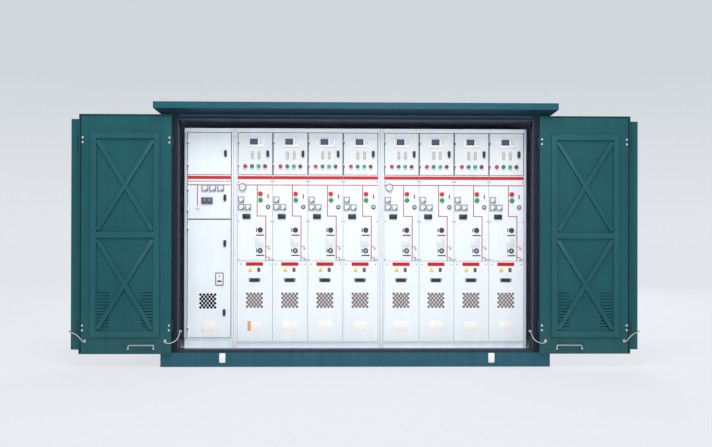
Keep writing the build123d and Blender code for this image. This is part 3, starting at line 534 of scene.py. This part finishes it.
def oval_lock(mesh, middle, width=0.0275, height=0.068):
    """A flush oval lock: a black body with round ends, a swing lever in it and a round key barrel."""
    x, y, z = middle
    body_depth, body_middle, lever_middle = 0.015, 0.006, 0.0135
    upright = Matrix.Translation((x, y - body_middle, z)) @ Matrix.Rotation(math.pi / 2, 4, "X")
    size = {"radius1": width / 2, "radius2": width / 2, "depth": body_depth, "segments": 26}
    made = bmesh.ops.create_cone(mesh, cap_ends=True, matrix=upright, **size)
    for corner in made["verts"]:
        corner.co.z += math.copysign((height - width) / 2, corner.co.z - z)
    faces = coated(made["verts"], case_black)
    rounded(mesh, [rim for face in faces if len(face.verts) > 4 for rim in face.edges], 0.001)
    lever_size = (0.012, 0.005, height * 0.52)
    block(mesh, (x, y - lever_middle, z + height * 0.10), lever_size, case_black, edge=0.002)
    barrel = [(0.0, 0.0), (0.006, 0.0), (0.006, 0.0150), (0.005, 0.0160), (0.0, 0.0160)]
    turned(mesh, (x, y, z - height * 0.31), barrel, barrel_steel, sides=14)


keys, lights, tabs = (3, 0.017), (5, 0.011), (5, 0.013)
single, test_strips = (1, 0.0), (0.418, 0.605)
relay_parts = (
    ((0.511,), 0.235, 0.0055, single, (0.171, 0.013, 0.088), bezel_white, 0.004),
    ((0.4645,), 0.213, 0.0120, single, (0.078, 0.003, 0.058), case_black, 0.001),
    ((0.4645,), 0.213, 0.0135, single, (0.066, 0.002, 0.046), screen_navy, 0.0),
    ((0.640, 0.690), 0.213, 0.0125, keys, (0.012, 0.004, 0.010), key_grey, 0.001),
    ((0.325,), 0.213, 0.0120, lights, (0.006, 0.002, 0.005), lens_teal, 0.0),
    (test_strips, 0.535, 0.0045, single, (0.024, 0.011, 0.072), strip_olive, 0.002),
    (test_strips, 0.535, 0.0105, tabs, (0.016, 0.003, 0.006), bezel_white, 0.0006),
)
buttons = ((0.219, lens_red), (0.412, lens_deep_green), (0.599, lens_teal), (0.781, lens_deep_red))
button_down, relay_lock_at = 0.802, (0.855, 0.504)
collar = [(0.0, -0.002), (0.0220, -0.002), (0.0220, 0.007), (0.0210, 0.0085), (0.018, 0.0085), (0.0, 0.0085)]
cap = [(0.0, 0.007), (0.0197, 0.007), (0.0197, 0.0148), (0.0175, 0.0168), (0.009, 0.0178), (0.0, 0.0182)]
for number, left in enumerate(unit_lefts, start=1):
    door = f"relay_door_{number}"
    area = front_area(door, left, unit_width)
    dress(relay_white, door, edge=0.0015)
    relay = bmesh.new()
    for columns, down, stand, (rows, pitch), size, material, edge in relay_parts:
        for across in columns:
            for row in range(rows):
                rise = (row - (rows - 1) / 2) * pitch
                block(relay, spot(area, across, down, stand, rise), size, material, edge)
    oval_lock(relay, spot(area, *relay_lock_at))
    for column, lens in buttons:
        button_at = spot(area, column, button_down)
        turned(relay, button_at, collar, chrome)
        turned(relay, button_at, cap, lens)
    piece(f"relay_face_{number}", relay, body=door)

# Mimic panels: flat white fronts of the units, with the one-line diagram in coloured tape and a red band across.
# Six screws hold each panel at its edges.
dress(white_paint, "mimic_panels", edge=0.001)
band_red = painted("band_red", (205, 44, 54), clouding=0.05)
line_red = painted("line_red", (186, 66, 82), clouding=0.05)
mark_brown = painted("mark_brown", (120, 72, 66))
window_grey = moulded("window_grey", (226, 228, 232), roughness=0.25)
ink_black = painted("ink_black", (34, 33, 38))
panel = front_area("mimic_panels", unit_lefts[0], unit_width)
tape, overlap, line_width, band_height, tape_gap = 0.0012, 0.0004, 0.0085, 0.032, 0.004
band_down, bus_down, drop_across, jog_down, side_across, foot_gap = 0.030, 0.116, 0.557, 0.478, 0.804, 0.002
tally_at, tally_size = (0.866, 0.247), (0.013, tape, 0.044)
window_at, window_size = (0.617, 0.785), (0.088, 0.004, 0.094)
bar_across, bar_downs, bar_size = 0.647, (0.702, 0.938), (0.082, tape, 0.011)
mark_across, marks = 0.900, ((0.835, line_red), (0.960, mark_brown))
mark_line, mark_drop, rung_pitch, rung_width, rung_less, rung_height = 0.006, 0.018, 0.007, 0.030, 0.009, 0.0035
screw_columns, screw_rows = (0.035, 0.965), (0.075, 0.541, 0.985)


def along_row(mesh):
    """Copies what was made for the first unit to the other units of the row."""
    first = mesh.verts[:] + mesh.edges[:] + mesh.faces[:]
    for left in unit_lefts[1:]:
        copy = bmesh.ops.duplicate(mesh, geom=first)["geom"]
        corners = [part for part in copy if isinstance(part, bmesh.types.BMVert)]
        bmesh.ops.translate(mesh, verts=corners, vec=(left - unit_lefts[0], 0.0, 0.0))


diagram = bmesh.new()
block(diagram, spot(panel, 0.5, band_down), (unit_width - tape_gap, tape, band_height), band_red)
block(diagram, spot(panel, 0.5, bus_down), (unit_width - tape_gap, tape, line_width), line_red)
drop_x, bus_z = spot(panel, drop_across, bus_down)[::2]
side_x, jog_z = spot(panel, side_across, jog_down)[::2]
foot_z = spot(panel, 0.0, 1.0, rise=foot_gap)[2]
drop_size = (line_width, tape + overlap, bus_z - jog_z)
block(diagram, (drop_x, front, (bus_z + jog_z) / 2), drop_size, line_red)
jog_size = (side_x - drop_x + line_width, tape, line_width)
block(diagram, ((drop_x + side_x) / 2, front, jog_z), jog_size, line_red)
foot_size = (line_width, tape + overlap, jog_z - foot_z)
block(diagram, (side_x, front, (jog_z + foot_z) / 2), foot_size, line_red)
block(diagram, spot(panel, *tally_at), tally_size, band_red)
block(diagram, spot(panel, *window_at), window_size, window_grey, edge=0.001)
for down in bar_downs:
    block(diagram, spot(panel, bar_across, down), bar_size, ink_black)
for down, ink in marks:
    mark_x, mark_z = spot(panel, mark_across, down)[::2]
    branch_size = (mark_x - side_x, tape - overlap, mark_line)
    block(diagram, ((side_x + mark_x) / 2, front, mark_z), branch_size, ink)
    block(diagram, (mark_x, front, mark_z - mark_drop / 2), (mark_line, tape, mark_drop), ink)
    for step in (0, 1, 2):
        rung_size = (rung_width - rung_less * step, tape + overlap, rung_height)
        block(diagram, (mark_x, front, mark_z - mark_drop - rung_pitch * step), rung_size, ink)
for across in screw_columns:
    for down in screw_rows:
        turned(diagram, spot(panel, across, down), small_screw, hinge_steel, sides=10)
along_row(diagram)
piece("mimic_diagram", diagram)

# Panel meters: square moving-coil meters and black digital readouts, clipped into the panels.
# Each meter has a grey rounded frame, a white dial with ticks, a needle and a dark lower corner.
frame_grey = moulded("frame_grey", (104, 106, 114))
meter_grey = moulded("meter_grey", (132, 134, 146))
dial_white = moulded("dial_white", (240, 241, 240), roughness=0.3)
glass_dark = moulded("glass_dark", (24, 24, 32), roughness=0.4)
case_depth, case_middle = 0.014, 0.006


def square_meter(mesh, middle, side=0.060):
    """A square panel meter with its dial, ticks, needle and corner cover."""
    x, y, z = middle
    dial_y, mark_y, needle_y = y - 0.0125, y - 0.0142, y - 0.0145
    dial, cover, reach, ticks = side * 0.70, side * 0.22, side * 0.50, 7
    block(mesh, (x, y - case_middle, z), (side, case_depth, side), meter_grey, edge=0.004)
    block(mesh, (x, dial_y, z), (dial, 0.003, dial), dial_white, edge=0.001)
    hub_x, hub_z = x + side * 0.24, z - side * 0.24
    for tick in range(ticks):
        angle = math.radians(90 + 15 * tick)
        tip = (hub_x + reach * math.cos(angle), mark_y, hub_z + reach * math.sin(angle))
        block(mesh, tip, (0.005, 0.0008, 0.0012), case_black, lean=-angle)
    block(mesh, (hub_x, mark_y, hub_z), (cover, 0.002, cover), meter_grey, edge=0.0006)
    needle_at = (hub_x - side * 0.13, needle_y, hub_z + side * 0.15)
    block(mesh, needle_at, (0.0014, 0.0008, side * 0.40), case_black, lean=math.radians(-40))


def readout(mesh, middle, width, height, case, glass):
    """A digital readout: a case with a glass front."""
    x, y, z = middle
    glass_y = y - 0.0128
    block(mesh, (x, y - case_middle, z), (width, case_depth, height), case, edge=0.003)
    block(mesh, (x, glass_y, z), (width * 0.82, 0.002, height * 0.68), glass, edge=0.0006)


meter_places = ((0.105, 0.287), (0.105, 0.375), (0.298, 0.375))
readout_at, readout_size = (0.257, 0.483), (0.079, 0.049)
meters = bmesh.new()
for place in meter_places:
    square_meter(meters, spot(panel, *place))
readout(meters, spot(panel, *readout_at), *readout_size, case_black, glass_dark)
along_row(meters)
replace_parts(piece("meter_set", meters), "panel_meters")

# Panel lamps: a red lamp over a green one on each panel, lenses screwed into chromed collars.
# They show the switch's state beside the one-line diagram.
lamp_collar = [(0.0, -0.002), (0.0255, -0.002), (0.0255, 0.005), (0.0245, 0.007), (0.0, 0.007)]
lamp_lens = [(0.0, 0.005), (0.0230, 0.005), (0.0230, 0.011), (0.019, 0.0148), (0.010, 0.0168), (0.0, 0.0174)]
lamps = bmesh.new()
for across, down, lens in ((0.650, 0.218, lens_red), (0.655, 0.291, lens_green)):
    turned(lamps, spot(panel, across, down), lamp_collar, chrome, sides=28)
    turned(lamps, spot(panel, across, down), lamp_lens, lens, sides=28)
along_row(lamps)
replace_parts(piece("lamp_set", lamps), "panel_lamps")

# Selector switches: black rotary switches with a pale knob, one at the right of each panel.
# The knob has a raised black bar.
selector_ring = [(0.0, -0.002), (0.022, -0.002), (0.022, 0.004), (0.020, 0.006), (0.0, 0.006)]
selector_knob = [(0.0, 0.004), (0.012, 0.004), (0.012, 0.016), (0.010, 0.018), (0.0, 0.018)]
selector_at, pointer_size, pointer_lean = (0.866, 0.371), (0.005, 0.006, 0.021), 0.6
selectors = bmesh.new()
turned(selectors, spot(panel, *selector_at), selector_ring, case_black)
turned(selectors, spot(panel, *selector_at), selector_knob, bezel_white)
pointer_at = spot(panel, *selector_at, stand=0.019)
block(selectors, pointer_at, pointer_size, case_black, edge=0.0015, lean=pointer_lean)
along_row(selectors)
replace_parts(piece("selector_set", selectors), "selector_switches")

# Drive sockets: round holes for the operating lever, two on each panel, in black collars with a steel bush.
# A red tag stands beside the upper one and a green tag beside the lower one.
socket_front = [(0.025, 0.008), (0.023, 0.010), (0.014, 0.010), (0.011, 0.007)]
socket_collar = [(0.011, 0.0), (0.025, 0.0)] + socket_front + [(0.011, 0.0)]
socket_bush = [(0.0, 0.001), (0.0115, 0.001), (0.0115, 0.006), (0.008, 0.006), (0.007, 0.002), (0.0, 0.002)]
tag_green = painted("tag_green", (52, 150, 92))
socket_rows = ((0.647, 0.641, band_red, barrel_steel), (0.645, 0.881, tag_green, chrome))
tag_across, tag_size = 0.543, (0.012, 0.003, 0.038)
sockets = bmesh.new()
for across, down, tag, bush in socket_rows:
    turned(sockets, spot(panel, across, down), socket_collar, case_black, sides=24)
    turned(sockets, spot(panel, across, down), socket_bush, bush, sides=24)
    block(sockets, spot(panel, tag_across, down), tag_size, tag, edge=0.0008)
along_row(sockets)
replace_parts(piece("socket_set", sockets), "drive_sockets")

# Pressure gauges: round gas gauges in dark steel cases, one on the first unit of each bank.
# A white dial with a red and a green arc, ticks and a black needle sits under a rim.
gauge_rim = [(0.031, 0.022), (0.034, 0.024), (0.037, 0.021)]
gauge_case = [(0.0, 0.016), (0.031, 0.016)] + gauge_rim + [(0.037, -0.002), (0.0, -0.002)]
gauge_dial = [(0.0, 0.0165), (0.0312, 0.0165), (0.0312, 0.019), (0.0, 0.019)]
gauge_hub = [(0.0, 0.018), (0.0025, 0.018), (0.0025, 0.021), (0.0, 0.0215)]
gauge_at, tick_count, tick_first, tick_step, tick_reach = (0.145, 0.141), 11, 225, 27, 0.024
tick_size, needle_size, needle_out = (0.006, 0.0008, 0.003), (0.026, 0.0008, 0.0012), 0.006
tick_stand, needle_stand = 0.0192, 0.0196
tick_inks = [lens_red] * 3 + [case_black] * 3 + [lens_green] * 5
gauges = bmesh.new()
for bank_left in (unit_lefts[0], unit_lefts[4]):
    gauge_x, gauge_y, gauge_z = spot((bank_left, *panel[1:]), *gauge_at)
    turned(gauges, (gauge_x, gauge_y, gauge_z), gauge_case, frame_grey, sides=32)
    turned(gauges, (gauge_x, gauge_y, gauge_z), gauge_dial, dial_white, sides=32)
    for step in range(tick_count):
        angle = math.radians(tick_first - tick_step * step)
        tick_x, tick_z = gauge_x + tick_reach * math.cos(angle), gauge_z + tick_reach * math.sin(angle)
        block(gauges, (tick_x, gauge_y - tick_stand, tick_z), tick_size, tick_inks[step], lean=-angle)
    needle_at = (gauge_x + needle_out, gauge_y - needle_stand, gauge_z + needle_out)
    block(gauges, needle_at, needle_size, case_black, lean=-math.pi / 4)
    turned(gauges, (gauge_x, gauge_y, gauge_z), gauge_hub, case_black, sides=12)
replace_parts(piece("gauge_set", gauges), "pressure_gauges")

# Cable covers: lift-off sheet covers of the cable compartments, eight in a row, each with a sunk pull.
# They carry plain coloured tags, a bare cream plate, two screws at the top and a field of punched vent holes.
dress(white_paint, "cable_covers", edge=0.0015)
banner_red = painted("banner_red", (200, 28, 32), clouding=0.05)
tag_white = moulded("tag_white", (244, 244, 242))
tag_yellow = moulded("tag_yellow", (226, 206, 52))
tag_plum = moulded("tag_plum", (88, 66, 96))
tag_orange = moulded("tag_orange", (230, 164, 98))
plate_cream = painted("plate_cream", (250, 247, 241), clouding=0.03)
vent_brown = painted("vent_brown", (132, 112, 108), roughness=0.6)
rim_grey = moulded("rim_grey", (150, 142, 142))


def disc(mesh, middle, radius, depth, material, sides=12):
    """Adds a flat plate with equal sides, half of its depth in front of its middle; the first corner is on top."""
    upright = Matrix.Translation(middle) @ Matrix.Rotation(math.pi / 2, 4, "X")
    size = {"radius1": radius, "radius2": radius, "depth": depth, "segments": sides}
    coated(bmesh.ops.create_cone(mesh, cap_ends=True, matrix=upright, **size)["verts"], material)


def punched_field(mesh, middle_top, rim, hole):
    """Seven staggered rows of punched holes, five and four in turn."""
    vent_rim = [(0.0116, 0.0), (0.0140, 0.0), (0.0126, 0.0014), (0.0116, 0.0)]
    x, y, top = middle_top
    hole_radius, hole_depth, hole_pitch, row_pitch, first_row = 0.0122, 0.0012, 0.036, 0.0213, 0.0135
    for row in range(7):
        count = 5 if row % 2 == 0 else 4
        for step in range(count):
            hole_x = x + (step - (count - 1) / 2) * hole_pitch
            hole_at = (hole_x, y, top - first_row - row_pitch * row)
            turned(mesh, hole_at, vent_rim, rim, sides=12)
            disc(mesh, hole_at, hole_radius, hole_depth, hole)


cover_middle = 0.487
cover = front_area("cable_covers", unit_lefts[0] + cover_middle * unit_width, unit_width)
label, raised_label, plate_down = 0.0016, 0.0018, 0.808
labels = (
    (0.037, 0.0, 0.0, (0.170, label, 0.035), banner_red, 0.0),
    (0.105, 0.0, 0.0, (0.170, label, 0.066), tag_white, 0.0),
    (0.108, 0.0005, 0.042, (0.030, raised_label, 0.042), tag_plum, 0.0004),
    (plate_down, 0.0, 0.0, (0.138, label, 0.102), plate_cream, 0.0004),
)
warning_place, warning_radius = {"down": 0.116, "stand": 0.0005, "aside": -0.045}, 0.029
pull_down, pull_deep, pull_proud, pull_size = 0.236, 0.0100, 0.0015, (0.100, 0.003, 0.032)
pull_cheek = (0.005, 0.006, 0.038)
pull_frame = (
    (-0.0165, 0.0, (0.104, 0.006, 0.005), case_black, 0.0),
    (0.0175, 0.0, (0.118, 0.006, 0.005), frame_grey, 0.0),
    (0.0, -0.0545, pull_cheek, frame_grey, -0.18),
    (0.0, 0.0545, pull_cheek, frame_grey, 0.18),
)
vents_down, cover_screws, screw_down = 0.390, (0.085 - cover_middle, 0.925 - cover_middle), 0.0375
orange_place, orange_size = {"stand": 0.0006, "aside": -0.052}, (0.032, raised_label, 0.098)
covers = bmesh.new()
for down, stand, aside, size, material, edge in labels:
    block(covers, spot(cover, 0.0, down, stand, aside=aside), size, material, edge)
disc(covers, spot(cover, 0.0, **warning_place), warning_radius, raised_label, tag_yellow, sides=3)
block(covers, spot(cover, 0.0, pull_down, -pull_deep), pull_size, case_black)
for rise, aside, size, material, lean in pull_frame:
    block(covers, spot(cover, 0.0, pull_down, pull_proud, rise, aside), size, material, 0.0015, lean)
punched_field(covers, spot(cover, 0.0, vents_down), rim_grey, vent_brown)
for across in cover_screws:
    turned(covers, spot(cover, across, screw_down), small_screw, frame_grey, sides=10)
along_row(covers)
block(covers, spot(cover, 0.0, plate_down, **orange_place), orange_size, tag_orange)
piece("cover_fittings", covers)

# Transformer cabinet doors: three sheet-steel doors on lift-off hinges at the left, one over the other.
# Each is shut by oval locks at the right; the upper one has nothing else.
vt_doors = ("vt_upper_door", "vt_meter_door", "vt_lower_door")
dress(white_paint, *vt_doors, edge=0.0015)
upper_door, meter_door, lower_door = [front_area(name, vt_low[0], vt_high[0] - vt_low[0]) for name in vt_doors]
upper_lock_at = (0.87, 0.5)
upper = bmesh.new()
oval_lock(upper, spot(upper_door, *upper_lock_at))
piece("vt_upper_fittings", upper, body="vt_upper_door")

# Transformer cabinet band: the units' red band, carried on across the strip over the meter door.
# It is painted on the strip's sheet.
strip_low, strip_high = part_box("vt_fascia_strip")
strip_x, strip_width = (strip_low[0] + strip_high[0]) / 2, strip_high[0] - strip_low[0]
band_z = spot(panel, 0.0, band_down)[2]
stripe = bmesh.new()
block(stripe, (strip_x, front, band_z), (strip_width, tape, band_height), band_red)
piece("vt_red_band", stripe)

# Meter door fittings: three square meters, a slate display with two windows and a lock, clipped into the door.
# The one-line diagram goes on across it in red tape, with a drop that ends in an earth mark.
display_slate = moulded("display_slate", (86, 87, 106), roughness=0.5)
vt_lock_at, vt_meter_columns, vt_meter_down, vt_meter_side = (0.86, 0.44), (0.435, 0.600, 0.770), 0.18, 0.066
display_at, display_size = (0.48, 0.52), (0.113, 0.067)
pane_aside, pane_up, pane_stand, pane_size = 0.024, 0.008, 0.0138, (0.022, 0.0012, 0.018)
drop_across, drop_length, earth_drop, earth_out, earth_line = 0.274, 0.210, 0.228, 0.016, (0.004, 0.036)
metering = bmesh.new()
oval_lock(metering, spot(meter_door, *vt_lock_at))
for across in vt_meter_columns:
    square_meter(metering, spot(meter_door, across, vt_meter_down), side=vt_meter_side)
readout(metering, spot(meter_door, *display_at), *display_size, display_slate, display_slate)
for side in (-1, 1):
    pane_at = spot(meter_door, *display_at, pane_stand, pane_up, side * pane_aside)
    block(metering, pane_at, pane_size, meter_grey, edge=0.0004)
block(metering, (strip_x, front, bus_z), (strip_width - tape_gap, tape, line_width), line_red)
drop_x = spot(meter_door, drop_across, 0.0)[0]
drop_size = (line_width, tape + overlap, drop_length)
block(metering, (drop_x, front, bus_z - drop_length / 2), drop_size, line_red)
for lap, angle in enumerate((-0.9, 0.0, 0.9), start=2):
    earth_z = bus_z - earth_drop - earth_out * math.cos(angle)
    earth_size = (earth_line[0], tape + lap * overlap, earth_line[1])
    block(metering, (drop_x + earth_out * math.sin(angle), front, earth_z), earth_size, meter_grey, lean=-angle)
piece("vt_meter_fittings", metering, body="vt_meter_door")

# Lower door fittings: two locks, a lock plate with a red lamp, punched vents and a bare cream plate.
# A black rubber edge is glued along the top of the door.
hole_black = painted("hole_black", (22, 22, 28), roughness=0.7)
lower_locks, trim_height, trim_stand, trim_down = ((0.86, 0.205), (0.85, 0.79)), 0.006, 0.001, 0.001
lock_across, lock_z, plate_lamp_up, key_below = 0.747, 0.848, 0.030, 0.020
lock_plate = (0.003, (0.083, 0.010, 0.130), frame_grey, 0.008)
lock_dial = (0.0065, (0.066, 0.006, 0.112), dial_white, 0.004)
key_stand, key_slot, lamp_stand = 0.0095, (0.040, 0.004, 0.016), 0.008
plate_lamp = [(0.0, 0.0), (0.008, 0.0), (0.008, 0.004), (0.0, 0.006)]
field_across, field_top, cream_z, cream_size = 0.500, 0.708, 0.376, (0.134, label, 0.114)
lower = bmesh.new()
for place in lower_locks:
    oval_lock(lower, spot(lower_door, *place))
trim_z = lower_door[1] - trim_down - trim_height / 2
block(lower, (strip_x, front, trim_z), (strip_width - tape_gap, trim_stand, trim_height), case_black)
lock_x = spot(lower_door, lock_across, 0.0)[0]
for stand, size, material, edge in (lock_plate, lock_dial):
    block(lower, (lock_x, front - stand, lock_z), size, material, edge)
block(lower, (lock_x, front - key_stand, lock_z - key_below), key_slot, case_black, edge=0.002)
turned(lower, (lock_x, front - lamp_stand, lock_z + plate_lamp_up), plate_lamp, lens_red)
field_x = spot(lower_door, field_across, 0.0)[0]
punched_field(lower, (field_x, front, field_top), frame_grey, hole_black)
block(lower, (field_x, front, cream_z), cream_size, plate_cream, edge=0.0004)
piece("vt_lower_fittings", lower, body="vt_lower_door")


# Studio: a plain pale floor that meets a pale backdrop, even light from all round and three large soft lamps.
# The camera stands in front of the middle, 1.37 m above the ground, as fitted to the photograph.
def background_ray(tree):
    """One for a ray that looks, straight or by a reflection or through glass; nought for one that lights."""
    path = tree.nodes.new("ShaderNodeLightPath")
    looks = path.outputs["Is Camera Ray"]
    for kind in ("Is Glossy Ray", "Is Transmission Ray"):
        looks = shaded(tree, "Math", "Value", {0: looks, 1: path.outputs[kind]}, operation="MAXIMUM")
    return looks


floor_pale, tree, shader = blank("floor_pale")
floor_lift, floor_half = 0.79, 60.0
looked_at = background_ray(tree)
matt = {"Roughness": 0.9, "Emission Color": linear(232, 234, 238)}
matt["Base Color"] = mixed(tree, looked_at, linear(232, 233, 236), linear(108, 110, 114))
matt["Emission Strength"] = shaded(tree, "Math", "Value", {0: looked_at, 1: floor_lift}, operation="MULTIPLY")
fill(tree, shader, matt)
floor_mesh = bmesh.new()
bmesh.ops.create_grid(floor_mesh, x_segments=1, y_segments=1, size=floor_half)
floor_shape = bpy.data.meshes.new("floor")
floor_mesh.to_mesh(floor_shape)
floor_mesh.free()
floor_shape.materials.append(floor_pale)
studio_floor = bpy.data.objects.new("floor", floor_shape)
bpy.context.collection.objects.link(studio_floor)

sky = bpy.data.worlds.new("studio")
sky.use_nodes = True
bpy.context.scene.world = sky
tree = sky.node_tree
light = tree.nodes["Background"]
fill(tree, light, {"Color": (0.96, 0.98, 1.0, 1.0), "Strength": 0.52})
fade_height = 0.17
slope = shaded(tree, "SeparateXYZ", "Z", {"Vector": shaded(tree, "TexCoord", "Generated")})
climb = shaded(tree, "MapRange", "Result", {"From Max": fade_height, "Value": slope})
fade = mixed(tree, climb, linear(227, 230, 234), linear(210, 215, 221))
backdrop = shaded(tree, "Background", "Background", {"Color": fade})
choice = {0: background_ray(tree), 1: light.outputs["Background"], 2: backdrop}
fill(tree, tree.nodes["World Output"], {"Surface": shaded(tree, "MixShader", "Shader", choice)})

for name, place, aim, size, power in (
    ("key_light", (-0.4, -4.6, 7.6), (0.0, -0.5, 1.2), 2.4, 270.0),
    ("fill_light", (0.6, -11.5, 4.2), (0.0, -0.5, 1.2), 5.0, 320.0),
    ("rear_light", (2.5, 9.5, 6.0), (0.0, 0.5, 1.2), 5.0, 420.0),
):
    lamp_data = bpy.data.lights.new(name, "AREA")
    lamp_data.size = size
    lamp_data.energy = power
    lamp = bpy.data.objects.new(name, lamp_data)
    lamp.visible_camera = False
    turn = (Vector(place) - Vector(aim)).to_track_quat("Z", "Y").to_matrix().to_4x4()
    lamp.matrix_world = Matrix.Translation(place) @ turn
    bpy.context.collection.objects.link(lamp)

lens_data = bpy.data.cameras.new("camera")
lens_data.sensor_width = 36.0
lens_data.lens = 42.65
camera = bpy.data.objects.new("camera", lens_data)
eye, yaw, pitch, roll = (-0.1708, -8.9616, 1.3704), -0.0203, 0.0040, 0.0022
turn = Matrix.Rotation(yaw, 4, "Z") @ Matrix.Rotation(math.pi / 2 + pitch, 4, "X") @ Matrix.Rotation(roll, 4, "Z")
camera.matrix_world = Matrix.Translation(eye) @ turn
bpy.context.collection.objects.link(camera)
bpy.context.scene.camera = camera
bpy.context.scene.view_settings.view_transform = "Standard"
